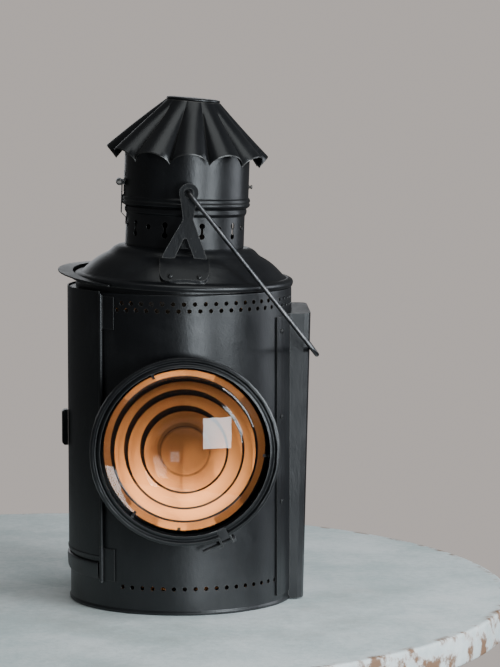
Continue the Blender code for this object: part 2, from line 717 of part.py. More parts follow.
def build_bracket_rivets(bare, top):
    """Two rivets through each bracket's foot."""
    outer = offset_points(dome_points(), GAP * 2 + BRACKET_THICKNESS)
    low, high = outer[5], outer[6]
    radius = (low[0] + high[0]) / 2
    height = (low[1] + high[1]) / 2
    slope = math.atan2(low[1] - high[1], high[0] - low[0])
    number = 0
    for middle, set_over in ((0.0, BRACKET_SET), (180 * DEG, -BRACKET_SET)):
        bend = math.atan2(RIM_DIP * math.cos(middle), DOME_RADIUS - RIM_DIP_START)
        for offset in (-RIVET_SPREAD, RIVET_SPREAD):
            number += 1
            bearing = middle + (offset + set_over) / radius
            spot = around(bearing, radius, height + rim_dip(radius, bearing))
            place = Matrix.Translation(spot) @ facing(bearing)
            place = place @ Matrix.Rotation(slope + bend - 90 * DEG, 4, "X")
            rivet(f"bracket_rivet_{number}", place, bare, top)


def socket_face():
    """A point on the socket's outer face and its outward normal, in the plane y = 0."""
    low = Vector((SOCKET_REACH_BOTTOM, 0.0, SOCKET_BOTTOM))
    high = Vector((SOCKET_REACH_TOP, 0.0, SOCKET_TOP_FRONT))
    along = (high - low).normalized()
    return low, Vector((along.z, 0.0, -along.x))


def bail_rest_angle(pivot):
    """The angle from straight down at which the crossbar lies on the socket's outer face."""
    point, normal = socket_face()
    reach = BAIL_WIRE_RADIUS + GAP - normal.dot(pivot - point)
    return math.atan2(normal.z, normal.x) + math.asin(reach / BAIL_LEG_LENGTH)


def bail_points(angle):
    """The wire's centre line about its pivot: a tail through each eye, two legs and a crossbar."""
    down = Vector((math.sin(angle), 0.0, -math.cos(angle)))
    back = Vector((0.0, 1.0, 0.0))
    start = -back * (BAIL_LEG_PLANE - BAIL_TAIL)
    points = [start]

    def bend(corner, towards, away, radius):
        centre = corner + towards * radius + away * radius
        for i in range(7):
            a = i / 6 * 90 * DEG
            points.append(centre - away * radius * math.cos(a) - towards * radius * math.sin(a))

    front = -back * BAIL_LEG_PLANE
    bend(front, back, down, BAIL_EYE_BEND)
    bend(front + down * BAIL_LEG_LENGTH, -down, back, BAIL_CORNER_BEND)
    half = list(points)
    return half + [Vector((point.x, -point.y, point.z)) for point in reversed(half)]


def build_bail(bare, top):
    """The wire bail, hung in the brackets' eyes and resting on the socket."""
    pivot_local = Vector((0.0, 0.0, EYE_HEIGHT))
    place = Matrix.Translation(top.location) @ Matrix.Rotation(TOP_LEAN, 4, "Y")
    pivot = empty("bail_pivot", pivot_local, parent=top)
    angle = bail_rest_angle(place @ pivot_local) + TOP_LEAN
    curve = bpy.data.curves.new("bail_wire", "CURVE")
    curve.dimensions = "3D"
    curve.bevel_depth = BAIL_WIRE_RADIUS
    curve.bevel_resolution = 2
    curve.use_fill_caps = True
    points = bail_points(angle)
    spline = curve.splines.new("POLY")
    spline.points.add(len(points) - 1)
    for target, point in zip(spline.points, points):
        target.co = (*point, 1.0)
    curve.materials.append(bare)
    wire = bpy.data.objects.new("bail_wire", curve)
    wire.parent = pivot
    bpy.context.scene.collection.objects.link(wire)


# Door


def knuckle(name, radius, low, high):
    """A solid rod about the door's hinge axis."""
    bm = bmesh.new()
    place = Matrix.Translation(around(DOOR_HINGE_BEARING, door_axis_radius(), (low + high) / 2))
    add_prism(bm, place, radius, high - low, 16)
    return mesh_object(name, bm)


def door_axis_radius():
    """The hinge axis stands off the drum by the knuckle and a gap."""
    return BODY_RADIUS + HINGE_KNUCKLE_RADIUS + 0.5 * MM


def door_top():
    """The door's upper edge, just above the drum's shoulder."""
    return BODY_HEIGHT + DOOR_RISE


def upper_knuckle_bottom():
    """The lower end of the upper knuckle."""
    return door_top() - 2.5 * MM - KNUCKLE_LENGTH


def build_door(paint):
    """The door panel on its hinge, with its pull."""
    hinge = empty("door_hinge", around(DOOR_HINGE_BEARING, door_axis_radius(), 0.0))
    inner = BODY_RADIUS + GAP + 0.1 * MM
    outer = inner + DOOR_WALL
    low, high = DOOR_BOTTOM, door_top()
    outline = [
        (inner, low), (outer + 0.5 * MM, low), (outer + 0.6 * MM, low + 1.4 * MM), (outer, low + 2.2 * MM),
        (outer, high), (inner, high),
    ]
    clear = (HINGE_KNUCKLE_RADIUS + 0.5 * MM) / BODY_RADIUS
    sweep = DOOR_HINGE_BEARING - clear - DOOR_FREE_BEARING
    panel = mesh_object("door_panel", turned(outline, 16, DOOR_FREE_BEARING, sweep), paint, hinge)
    panel.location = -hinge.location

    roll_low = LOWER_KNUCKLE_BOTTOM + KNUCKLE_LENGTH + GAP * 2
    roll_high = upper_knuckle_bottom() - GAP * 2
    web_outline = [
        (inner + 0.1 * MM, roll_low + GAP), (outer - 0.1 * MM, roll_low + GAP),
        (outer - 0.1 * MM, roll_high - GAP), (inner + 0.1 * MM, roll_high - GAP),
    ]
    web_start = DOOR_HINGE_BEARING - clear - 1.0 * DEG
    web = mesh_object("door_web", turned(web_outline, 2, web_start, clear + 0.6 * DEG))
    roll = knuckle("door_roll", HINGE_KNUCKLE_RADIUS - 0.1 * MM, roll_low, roll_high)
    hole = knuckle("door_roll_hole", HINGE_PIN_RADIUS + HINGE_GAP, low - 20 * MM, high + 20 * MM)
    hem = bmesh.new()
    hem_place = Matrix.Translation(around(DOOR_FREE_BEARING, outer + 0.2 * MM, (low + high) / 2))
    add_prism(hem, hem_place, 1.1 * MM, high - low - 0.6 * MM, 10)
    for shape in (web, roll, mesh_object("door_hem", hem)):
        combine(panel, shape, "UNION")
    combine(panel, hole, "DIFFERENCE")

    half = PULL_HEIGHT / 2
    near = outer + GAP
    far = near + PULL_REACH
    corner = 1.6 * MM
    outline = [
        (near, PULL_MIDDLE - half), (far - corner, PULL_MIDDLE - half), (far, PULL_MIDDLE - half + corner),
        (far, PULL_MIDDLE + half - corner), (far - corner, PULL_MIDDLE + half), (near, PULL_MIDDLE + half),
    ]
    pull = mesh_object("door_pull", extruded(outline, -PULL_WIDTH / 2, PULL_WIDTH / 2), paint, hinge)
    pull.matrix_local = Matrix.Translation(-hinge.location) @ Matrix.Rotation(PULL_BEARING - 90 * DEG, 4, "Z")


def build_hinge_leaves(paint, bare):
    """The two fixed leaves with their knuckles, and the long pin."""
    spans = {
        "upper_hinge_leaf": (upper_knuckle_bottom(), upper_knuckle_bottom() + KNUCKLE_LENGTH),
        "lower_hinge_leaf": (LOWER_KNUCKLE_BOTTOM, LOWER_KNUCKLE_BOTTOM + KNUCKLE_LENGTH),
    }
    inner = BODY_RADIUS + GAP
    outer = inner + 0.9 * MM
    for name, (low, high) in spans.items():
        foot, head = low + 1.0 * MM, high - 1.0 * MM
        outline = [(inner, foot), (outer, foot), (outer, head), (inner, head)]
        leaf = mesh_object(name, turned(outline, 4, DOOR_HINGE_BEARING + 0.3 * DEG, 7.6 * DEG), paint)
        combine(leaf, knuckle(name + "_knuckle", HINGE_KNUCKLE_RADIUS, low, high), "UNION")
        hole = knuckle(name + "_hole", HINGE_PIN_RADIUS + HINGE_GAP, low - 5 * MM, high + 5 * MM)
        combine(leaf, hole, "DIFFERENCE")
    low = spans["lower_hinge_leaf"][0] - 0.8 * MM
    high = spans["upper_hinge_leaf"][1] + 0.8 * MM
    pin = knuckle("door_hinge_pin", HINGE_PIN_RADIUS, low, high)
    pin.data.materials.append(bare)


def build_sill(paint):
    """The raised band below the door."""
    inner = BODY_RADIUS + GAP
    high = DOOR_BOTTOM - 3.2 * MM
    low = high - SILL_HEIGHT
    proud = SILL_PROUD
    outline = [
        (inner, low), (inner + proud * 0.4, low), (inner + proud * 0.8, low + 2.5 * MM),
        (inner + proud, high - 3.0 * MM), (inner + proud * 0.9, high - 0.8 * MM), (inner + proud * 0.5, high),
        (inner, high),
    ]
    start = DOOR_FREE_BEARING - 1.0 * DEG
    end = DOOR_HINGE_BEARING - 2.6 * DEG
    mesh_object("door_sill", turned(outline, 16, start, end - start), paint)


# Lens


def clock_place(clock, radius, reach):
    """A place on the lens's face: clock angle from the top, radius and distance in front of the axis."""
    return Matrix.Rotation(-clock, 4, "Z") @ Matrix.Translation((0.0, radius, reach))


def build_barrel(paint, lens):
    """The tube that carries the lens, tapering back to the drum and trimmed to its curve."""
    outer = BARREL_RADIUS
    inner = BARREL_RADIUS - BARREL_WALL
    seat = LENS_SEAT_REACH
    front = LENS_FRONT - 1.6 * MM
    outline = [
        (outer, front), (outer, seat), (NECK_END_RADIUS, NECK_END_REACH),
        (NECK_END_RADIUS - BARREL_WALL, NECK_END_REACH), (inner - 0.5 * MM, seat - 1.4 * MM),
        (inner - 2.4 * MM, seat - 1.0 * MM), (inner - 2.4 * MM, seat + 1.0 * MM), (inner, seat + 1.0 * MM),
        (inner, front),
    ]
    barrel = mesh_object("lens_barrel", turned(outline, 48), paint, lens)
    combine(barrel, drum_core("drum_in_barrel"), "DIFFERENCE")


def build_band(paint, bare, lens):
    """The split bezel band, its clamp screw and nut."""
    inner = BARREL_RADIUS + GAP
    front = LENS_FRONT
    back = front - BAND_WIDTH
    rim = BEZEL_RADIUS
    outline = [
        (inner, back), (inner + 1.3 * MM, back), (inner + 1.3 * MM, front - 5.0 * MM),
        (rim, front - 3.6 * MM), (rim - 0.5 * MM, front - 0.9 * MM), (rim - 2.2 * MM, front),
        (inner - 1.6 * MM, front - 0.3 * MM), (inner - 1.6 * MM, front - 1.2 * MM), (inner, front - 1.2 * MM),
    ]
    # In the lens's frame a bearing runs from -Y, which is the bottom of the face.
    split = 180 * DEG - BAND_SPLIT_CLOCK
    start = split + BAND_SPLIT_HALF
    band = mesh_object("lens_clamp_band", turned(outline, 48, start, TURN - 2 * BAND_SPLIT_HALF), paint, lens)
    ear_wall = 1.5 * MM
    ear_radius = inner + 0.6 * MM
    screw_radius = BEZEL_RADIUS + CLAMP_SCREW_RADIUS * 2.0 + GAP * 1.5
    offset = ear_radius * math.tan(BAND_SPLIT_HALF)
    for side, label in ((-1, "near"), (1, "far")):
        edges = sorted((side * offset, side * (offset + ear_wall)))
        corners = [(ear_radius, edges[0]), (ear_radius + EAR_HEIGHT, edges[0])]
        corners += [(ear_radius + EAR_HEIGHT, edges[1]), (ear_radius, edges[1])]
        bm = extruded(corners, back + 0.8 * MM, front - 1.2 * MM, "Z")
        bm.transform(Matrix.Rotation(90 * DEG - BAND_SPLIT_CLOCK, 4, "Z"))
        ear = mesh_object("ear_" + label, bm)
        ear.parent = lens
        combine(band, ear, "UNION")
    middle = (back + front) / 2
    along = clock_place(BAND_SPLIT_CLOCK, screw_radius, middle) @ Matrix.Rotation(-90 * DEG, 4, "Y")
    bm = bmesh.new()
    add_prism(bm, along, CLAMP_SCREW_RADIUS + GAP, 30 * MM, 12)
    hole = mesh_object("ear_hole", bm)
    hole.parent = lens
    combine(band, hole, "DIFFERENCE")

    head = offset + ear_wall + GAP
    radius = CLAMP_SCREW_RADIUS
    outline = [
        (0.0, head + 2.0 * MM), (0.0, head + 2.0 * MM - CLAMP_SCREW_LENGTH),
        (radius, head + 2.0 * MM - CLAMP_SCREW_LENGTH), (radius, head), (radius * 2.0, head),
        (radius * 2.0, head + 1.4 * MM), (radius * 1.2, head + 2.0 * MM),
    ]
    screw = mesh_object("clamp_screw", turned(outline, 12), bare, lens)
    screw.matrix_local = along
    bm = bmesh.new()
    add_prism(bm, Matrix.Identity(4), radius * 2.0, 2.0 * MM, 4)
    nut = mesh_object("clamp_nut", bm, bare, lens)
    hole_bm = bmesh.new()
    add_prism(hole_bm, Matrix.Identity(4), radius + GAP / 2, 6.0 * MM, 12)
    nut_hole = mesh_object("clamp_nut_hole", hole_bm)
    nut_hole.parent = nut
    combine(nut, nut_hole, "DIFFERENCE")
    nut_reach = -offset - ear_wall - GAP - 1.0 * MM
    nut.matrix_local = along @ Matrix.Translation((0.0, 0.0, nut_reach))


def lens_outline():
    """A smooth bulging front and a stepped back, from the centre out and round to the centre again."""
    radius = BARREL_RADIUS - BARREL_WALL - GAP
    back = LENS_SEAT_REACH + 1.0 * MM + GAP
    edge = back + LENS_RIM_THICKNESS
    steps = 6
    front = [(radius * i / steps, edge + LENS_BULGE * (1.0 - (i / steps) ** 2)) for i in range(steps + 1)]
    profile = front + [(radius, back)]
    last = radius - 1.2 * MM
    profile += [(last, back), (last, back + LENS_STEP_DEPTH * 0.3)]
    inward = [BARREL_RADIUS * share for share in reversed(LENS_STEP_SHARES)]
    for i, step in enumerate(inward):
        depth = LENS_STEP_DEPTH if i < len(inward) - 1 else LENS_STEP_DEPTH * 0.5
        profile += [(step + 0.3 * MM, back), (step, back + depth)]
    return profile + [(0.0, back)]


def build_lens(glass, bare, lens):
    """The stepped lens and the clips that hold it."""
    mesh_object("fresnel_lens", turned(lens_outline(), 32), glass, lens, 20 * DEG)
    inner = BARREL_RADIUS - BARREL_WALL - GAP
    reach = LENS_SEAT_REACH + 1.0 * MM + GAP + LENS_RIM_THICKNESS + GAP
    outline = [
        (0.0, 5.2 * MM), (0.0, 0.1 * MM), (-4.6 * MM, 1.6 * MM), (-4.6 * MM, 2.6 * MM), (-1.2 * MM, 1.6 * MM),
        (-1.0 * MM, 5.2 * MM),
    ]
    for number, clock in enumerate(CLIP_CLOCKS, 1):
        bm = extruded(outline, -1.0 * MM, 1.0 * MM)
        bm.transform(Matrix.Rotation(90 * DEG, 4, "Z"))
        clip = mesh_object(f"lens_clip_{number}", bm, bare, lens)
        clip.matrix_local = clock_place(clock, inner, reach)


# Lamp-iron socket


def socket_solid(inset, low):
    """The socket's outer or inner block: sloping roof, leaning outer face, rounded outer edges."""
    reach_bottom = SOCKET_REACH_BOTTOM - inset
    half = SOCKET_HALF_DEPTH - inset
    corner = SOCKET_EDGE_ROUND - inset
    root = BODY_RADIUS * 0.8
    plan = [(root, -half)]
    plan += [(-corner, -half), (-corner * 0.3, -half + corner * 0.3), (0.0, -half + corner)]
    plan += [(0.0, half - corner), (-corner * 0.3, half - corner * 0.3), (-corner, half), (root, half)]
    middle = (SOCKET_TOP_FRONT + SOCKET_TOP_BACK) / 2
    slope = (SOCKET_TOP_BACK - SOCKET_TOP_FRONT) / (2 * SOCKET_HALF_DEPTH)
    taper = (SOCKET_REACH_TOP - SOCKET_REACH_BOTTOM) / (middle - SOCKET_BOTTOM)
    bm = bmesh.new()
    rings = []
    for level in (low, None):
        ring = []
        for across, along in plan:
            height = middle - inset + slope * along if level is None else level
            reach = reach_bottom + taper * (height - SOCKET_BOTTOM)
            x = across if across == root else reach + across
            ring.append(bm.verts.new((x, along, height)))
        rings.append(ring)
    count = len(plan)
    for i in range(count):
        k = (i + 1) % count
        bm.faces.new((rings[0][i], rings[0][k], rings[1][k], rings[1][i]))
    bm.faces.new(rings[0])
    bm.faces.new(rings[1])
    return bm


def build_socket(paint, bare):
    """The pocket for the lamp iron: a bent sheet with a roof, flanged and riveted to the drum."""
    socket = mesh_object("lamp_iron_socket", socket_solid(0.0, SOCKET_BOTTOM), paint)
    hollow = mesh_object("socket_hollow", socket_solid(SOCKET_WALL, SOCKET_BOTTOM - 5 * MM))
    combine(socket, hollow, "DIFFERENCE")
    inner = BODY_RADIUS + GAP
    wall_bearing = 90 * DEG - math.asin((SOCKET_HALF_DEPTH - SOCKET_WALL / 2) / inner)
    low = SOCKET_BOTTOM + 6.0 * MM
    high = SOCKET_TOP_FRONT - 1.0 * MM
    outline = [(inner, low), (inner + FLANGE_WALL, low), (inner + FLANGE_WALL, high), (inner, high)]
    sweep = wall_bearing - FLANGE_BEARING
    for label, start in (("front", FLANGE_BEARING), ("rear", 180 * DEG - wall_bearing)):
        combine(socket, mesh_object("flange_" + label, turned(outline, 4, start, sweep)), "UNION")
    combine(socket, drum_core("drum_in_socket"), "DIFFERENCE")
    foot = bmesh.new()
    add_prism(foot, Matrix.Identity(4), BASE_RIM_RADIUS + GAP * 1.5, 2 * BASE_RIM_HEIGHT + GAP, BODY_STEPS)
    combine(socket, mesh_object("foot_in_socket", foot), "DIFFERENCE")

    number = 0
    for bearing in (SOCKET_RIVET_BEARING, 180 * DEG - SOCKET_RIVET_BEARING):
        for height in SOCKET_RIVET_HEIGHTS:
            number += 1
            spot = around(bearing, inner + FLANGE_WALL + GAP, height)
            rivet(f"socket_rivet_{number}", Matrix.Translation(spot) @ facing(bearing), bare)


# Inside


def build_inside(copper, bare, wax, wick):
    """Reflector, heat baffle and flue collar, candle tray, cup, candle and wick."""
    floor = SHEET + GAP
    outline = [
        (REFLECTOR_RADIUS - 0.8 * MM, 8.5 * MM), (REFLECTOR_RADIUS, 8.5 * MM),
        (REFLECTOR_RADIUS, REFLECTOR_TOP), (REFLECTOR_RADIUS - 0.8 * MM, REFLECTOR_TOP),
    ]
    mesh_object("copper_reflector", turned(outline, 24, REFLECTOR_START, REFLECTOR_SWEEP), copper)

    outer = NECK_RADIUS - SHEET - GAP
    level = BODY_HEIGHT + 1.0 * MM
    hole = BAFFLE_HOLE_RADIUS
    outline = [(hole, level), (outer, level), (outer, level + SHEET), (hole, level + SHEET)]
    mesh_object("heat_baffle", turned(outline, 32), bare)
    collar = hole - GAP
    head = level + FLUE_COLLAR_HEIGHT
    outline = [(collar - SHEET, level), (collar, level), (collar, head), (collar - SHEET, head)]
    mesh_object("flue_collar", turned(outline, 32), bare)

    outline = [
        (0.0, floor), (TRAY_RADIUS - 2.0 * MM, floor), (TRAY_RADIUS, floor + TRAY_HEIGHT),
        (TRAY_RADIUS - SHEET, floor + TRAY_HEIGHT), (TRAY_RADIUS - 3.0 * MM, floor + SHEET),
        (0.0, floor + SHEET),
    ]
    mesh_object("candle_tray", turned(outline, 32), bare)

    base = floor + SHEET + GAP
    bore = CANDLE_RADIUS + GAP
    outline = [
        (bore + 6.0 * MM, base), (bore + 6.0 * MM, base + SHEET), (bore + SHEET, base + 2.5 * MM),
        (bore + SHEET, base + 26.0 * MM), (bore, base + 26.0 * MM), (bore, base + 1.2 * MM), (bore, base),
    ]
    mesh_object("candle_cup", turned(outline, 20), bare)

    well = WICK_RADIUS + GAP
    outline = [
        (0.0, base + GAP), (CANDLE_RADIUS, base + GAP), (CANDLE_RADIUS, CANDLE_TOP - 1.5 * MM),
        (CANDLE_RADIUS - 1.2 * MM, CANDLE_TOP), (CANDLE_RADIUS - 3.0 * MM, CANDLE_TOP - 1.2 * MM),
        (well + 2.0 * MM, CANDLE_TOP - 2.4 * MM), (well, CANDLE_TOP - 2.2 * MM),
        (well, CANDLE_TOP - 8.0 * MM),
        (0.0, CANDLE_TOP - 8.0 * MM),
    ]
    mesh_object("candle", turned(outline, 20), wax)
    bm = bmesh.new()
    low = CANDLE_TOP - 8.0 * MM + GAP
    add_prism(bm, Matrix.Translation((0, 0, (low + WICK_TOP) / 2)), WICK_RADIUS, WICK_TOP - low, 8)
    mesh_object("wick", bm, wick)


def main():
    clear_scene()
    paint = make_material("black_paint", (0.02, 0.021, 0.024), 0.42)
    bare = make_material("worn_steel", (0.42, 0.41, 0.40), 0.38, metallic=1.0)
    copper = make_material("copper", (0.80, 0.38, 0.16), 0.35, metallic=1.0)
    glass = make_material("clear_glass", (0.96, 0.98, 0.97), 0.05, transmission=1.0)
    wax = make_material("candle_wax", (0.86, 0.81, 0.68), 0.45)
    wick = make_material("charred_wick", (0.05, 0.045, 0.04), 0.9)

    top = empty("top_frame", Vector((0.0, 0.0, BODY_HEIGHT)) + TOP_OFFSET, (0.0, TOP_LEAN, 0.0))
    pin = Vector((-UPPER_TUBE_RADIUS - COWL_PIN_OUT, 0.0, COWL_PIN_HEIGHT))
    cowl_hinge = empty("cowl_hinge", pin, parent=top)
    lens = empty("lens_frame", (0.0, 0.0, LENS_HEIGHT), (90 * DEG, 0.0, 0.0))

    build_drum(paint, bare)
    build_dome(paint, top)
    build_lower_chimney(paint, top)
    build_upper_chimney(paint, cowl_hinge)
    build_cowl(paint, cowl_hinge)
    build_cowl_hinge(paint, bare, top, cowl_hinge)
    build_cowl_stud(bare, cowl_hinge)
    build_bracket("front_bail_bracket", -1, paint, top)
    build_bracket("rear_bail_bracket", 1, paint, top)
    build_bracket_rivets(bare, top)
    build_bail(bare, top)
    build_door(paint)
    build_hinge_leaves(paint, bare)
    build_sill(paint)
    build_barrel(paint, lens)
    build_band(paint, bare, lens)
    build_lens(glass, bare, lens)
    build_socket(paint, bare)
    build_inside(copper, bare, wax, wick)


main()
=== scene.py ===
# %% [markdown]
# # A candle signal lantern
#
# The moving model is already made: a drum, a door, a chimney that tips back and a wire bail. This lesson
# loads it as a fixed frame and gives each sheet, wire and pane its real surface. Where a piece deserves a
# finer shape than the model's, a new piece takes its place and rides on the same body.

# %% Load the frame
import math

import bmesh
import bpy
from mathutils import Matrix, Vector


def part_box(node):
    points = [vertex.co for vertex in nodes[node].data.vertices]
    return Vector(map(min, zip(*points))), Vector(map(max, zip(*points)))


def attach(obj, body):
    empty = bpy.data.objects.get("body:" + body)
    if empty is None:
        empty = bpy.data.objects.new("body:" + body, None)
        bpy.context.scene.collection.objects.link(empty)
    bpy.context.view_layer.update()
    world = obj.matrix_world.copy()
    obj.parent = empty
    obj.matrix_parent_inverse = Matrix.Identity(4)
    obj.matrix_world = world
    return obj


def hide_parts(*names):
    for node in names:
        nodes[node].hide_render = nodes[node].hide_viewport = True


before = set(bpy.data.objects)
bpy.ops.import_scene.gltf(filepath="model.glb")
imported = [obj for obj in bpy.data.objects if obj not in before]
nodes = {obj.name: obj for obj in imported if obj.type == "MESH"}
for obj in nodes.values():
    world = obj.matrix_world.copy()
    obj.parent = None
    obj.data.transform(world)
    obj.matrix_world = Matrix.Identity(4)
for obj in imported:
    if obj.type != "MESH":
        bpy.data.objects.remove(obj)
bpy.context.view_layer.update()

# %% [markdown]
# ## Writing shader maths as plain expressions
#
# A finish is a small calculation: a mask times a noise, one minus a gradient. Blender keeps such sums as
# Math nodes. The class below wraps one output socket and turns +, -, * and / into those nodes, so a recipe
# reads like arithmetic. The other class holds one material and adds any other node with a single method.

# %% A socket that can be calculated with
MM = 0.001
DEG = math.pi / 180.0
TURN = 2.0 * math.pi


class Value:
    """One output of a node, with the arithmetic that adds Math nodes."""

    def __init__(self, finish, socket):
        self.finish = finish
        self.socket = socket

    def maths(self, operation, *values, clamp=False):
        return self.finish.add(
            "ShaderNodeMath",
            {"operation": operation, "use_clamp": clamp},
            dict(enumerate(values)),
        )

    def __add__(self, other):
        return self.maths("ADD", self, other)

    def __sub__(self, other):
        return self.maths("SUBTRACT", self, other)

    def __rsub__(self, other):
        return self.maths("SUBTRACT", other, self)

    def __mul__(self, other):
        return self.maths("MULTIPLY", self, other)

    def __truediv__(self, other):
        return self.maths("DIVIDE", self, other)

    def __pow__(self, other):
        return self.maths("POWER", self, other)

    def __rtruediv__(self, other):
        return self.maths("DIVIDE", other, self)

    __radd__ = __add__
    __rmul__ = __mul__

    def larger(self, other):
        return self.maths("MAXIMUM", self, other)

    def size(self):
        """Its distance from nought."""
        return self.maths("ABSOLUTE", self)

    def clamped(self):
        return self.maths("ADD", self, 0.0, clamp=True)

    def ramp(self, low, high):
        """Nought below low, one above high, smooth between."""
        return self.finish.add(
            "ShaderNodeMapRange",
            {"interpolation_type": "SMOOTHSTEP"},
            {"Value": self, "From Min": low, "From Max": high},
        )


# %% A material and the one method that adds nodes
class Finish:
    """One material round a Principled shader."""

    def __init__(self, name, **constants):
        self.material = bpy.data.materials.new(name)
        self.material.use_nodes = True
        self.tree = self.material.node_tree
        self.shader = self.tree.nodes["Principled BSDF"]
        self.set(**constants)

    def feed(self, socket, value):
        if isinstance(value, Value):
            self.tree.links.new(value.socket, socket)
        elif isinstance(value, tuple) and len(value) == 3 and len(socket.default_value) == 4:
            socket.default_value = (*value, 1.0)
        else:
            socket.default_value = value

    def add(self, kind, settings=None, sockets=None, out=0):
        node = self.tree.nodes.new(kind)
        for key, value in (settings or {}).items():
            setattr(node, key, value)
        for key, value in (sockets or {}).items():
            self.feed(node.inputs[key], value)
        return Value(self, node.outputs[out])

    def set(self, **sockets):
        """Feed the shader: base_color=... means its Base Color."""
        for key, value in sockets.items():
            name = "IOR" if key == "ior" else key.replace("_", " ").title()
            self.feed(self.shader.inputs[name], value)

    def place(self):
        """Where a point is on its own piece, so that the finish moves with it."""
        return self.add("ShaderNodeTexCoord", out="Object")

    def parts(self):
        """The place as three numbers, x, y and z."""
        node = self.tree.nodes.new("ShaderNodeSeparateXYZ")
        self.feed(node.inputs[0], self.place())
        return [Value(self, output) for output in node.outputs]

    def stretched(self, scale):
        sockets = {"Vector": self.place(), "Scale": scale}
        return self.add("ShaderNodeMapping", {"vector_type": "POINT"}, sockets)

    def noise(self, scale, detail=3.0, roughness=0.55, where=None):
        return self.add(
            "ShaderNodeTexNoise",
            {"noise_dimensions": "3D"},
            {"Vector": where or self.place(), "Scale": scale, "Detail": detail, "Roughness": roughness},
        )

    def mix(self, factor, first, second):
        node = self.tree.nodes.new("ShaderNodeMix")
        node.data_type = "RGBA"
        for key, value in ((0, factor), (6, first), (7, second)):
            self.feed(node.inputs[key], value)
        return Value(self, node.outputs[2])

    def bump(self, height, distance, strength=1.0, below=None):
        sockets = {"Height": height, "Distance": distance, "Strength": strength}
        if below:
            sockets["Normal"] = below
        return self.add("ShaderNodeBump", {}, sockets)

    def edges(self, radius):
        """One on a sharp outer edge, nought on a flat: how far a rounded normal turns from the real one."""
        rounded = self.add("ShaderNodeBevel", {"samples": 4}, {"Radius": radius})
        flat = self.add("ShaderNodeNewGeometry", out="Normal")
        turn = {"operation": "DOT_PRODUCT"}
        return 1.0 - self.add("ShaderNodeVectorMath", turn, {0: rounded, 1: flat}, out="Value")


print("shader helpers ready")

# %% [markdown]
# ## The camera
#
# The lantern is seen from a little over two metres away and slightly above, through a long lens, so its
# sides stay almost parallel. It stands left of the middle of the frame with plain wall beside it.

# %% Camera
SENSOR = 36.0
LENS = 156.5
CAMERA_DISTANCE = 2.187
CAMERA_HEIGHT = 0.424
CAMERA_BEARING = -1.8 * DEG
CAMERA_PITCH = -5.84 * DEG
CAMERA_PAN = -1.38 * DEG

camera_data = bpy.data.cameras.new("camera")
camera_data.lens = LENS
camera_data.sensor_width = SENSOR
camera = bpy.data.objects.new("camera", camera_data)
camera.location = (
    CAMERA_DISTANCE * math.sin(CAMERA_BEARING),
    -CAMERA_DISTANCE * math.cos(CAMERA_BEARING),
    CAMERA_HEIGHT,
)
camera.rotation_euler = (90 * DEG + CAMERA_PITCH, 0.0, CAMERA_BEARING + CAMERA_PAN)
bpy.context.scene.collection.objects.link(camera)
bpy.context.scene.camera = camera
print("camera at", [round(c, 3) for c in camera.location])

# %% [markdown]
# ## Light
#
# Black enamel shows hardly anything but reflections, so the lights are placed for what the sheet mirrors,
# and not for how much falls on it. One tall soft light from the front right draws long
# sheens down the drum and leaves the left side dark. A smaller one nearer the camera makes the bright
# patch on the glass, a weak one behind keeps the far side readable, and a small warm lamp inside the drum
# lights the copper behind the lens.


# %% Lights
def soft_light(name, bearing, height, distance, size, power, colour=(1.0, 1.0, 1.0), aim=(0.0, 0.0, 0.18)):
    """A rectangular light at a bearing round the lantern, aimed at it."""
    data = bpy.data.lights.new(name, "AREA")
    data.shape = "RECTANGLE"
    data.size, data.size_y = size
    data.energy = power
    data.color = colour
    light = bpy.data.objects.new(name, data)
    light.location = (distance * math.sin(bearing), -distance * math.cos(bearing), height)
    look = Vector(aim) - light.location
    light.rotation_euler = look.to_track_quat("-Z", "Y").to_euler()
    light.visible_camera = False
    bpy.context.scene.collection.objects.link(light)
    return light


soft_light("window_light", 46 * DEG, 0.75, 2.0, (0.75, 1.3), 42.0, (0.86, 0.94, 1.0))
soft_light("side_light", 100 * DEG, 0.60, 1.8, (0.9, 1.2), 13.0, (0.86, 0.92, 1.0))
soft_light("lens_light", 17 * DEG, 0.16, 2.4, (0.56, 0.60), 18.0, (0.86, 0.94, 1.0), (0.0, 0.0, 0.124))
soft_light("sky_light", 20 * DEG, 2.2, 0.6, (1.6, 1.6), 13.5, (0.95, 1.0, 1.0))
soft_light("back_light", 188 * DEG, 0.5, 2.2, (1.2, 0.8), 3.5, (0.93, 0.96, 1.0))

# %% The glow inside and the room
lamp_data = bpy.data.lights.new("inner_glow", "SPOT")
lamp_data.energy = 0.38
lamp_data.color = (1.0, 0.76, 0.50)
lamp_data.spot_size = 125 * DEG
lamp_data.spot_blend = 0.5
lamp_data.shadow_soft_size = 0.012
lamp = bpy.data.objects.new("inner_glow", lamp_data)
lamp.location = (0.0, -0.045, 0.112)
lamp.rotation_euler = (90 * DEG, 0.0, 0.0)
bpy.context.scene.collection.objects.link(lamp)

WALL_COLOUR = (0.515, 0.470, 0.442, 1.0)
ROOM_COLOUR = (0.38, 0.39, 0.40, 1.0)
ROOM_STRENGTH = 0.22

world = bpy.data.worlds.new("room")
world.use_nodes = True
room = world.node_tree
wall = room.nodes["Background"]
wall.inputs["Color"].default_value = WALL_COLOUR
dim = room.nodes.new("ShaderNodeBackground")
dim.inputs["Color"].default_value = ROOM_COLOUR
dim.inputs["Strength"].default_value = ROOM_STRENGTH
ray = room.nodes.new("ShaderNodeLightPath")
either = room.nodes.new("ShaderNodeMixShader")
room.links.new(ray.outputs["Is Camera Ray"], either.inputs[0])
room.links.new(dim.outputs[0], either.inputs[1])
room.links.new(wall.outputs[0], either.inputs[2])
room.links.new(either.outputs[0], room.nodes["World Output"].inputs["Surface"])
bpy.context.scene.world = world
print("lights:", sorted(light.name for light in bpy.data.lights))

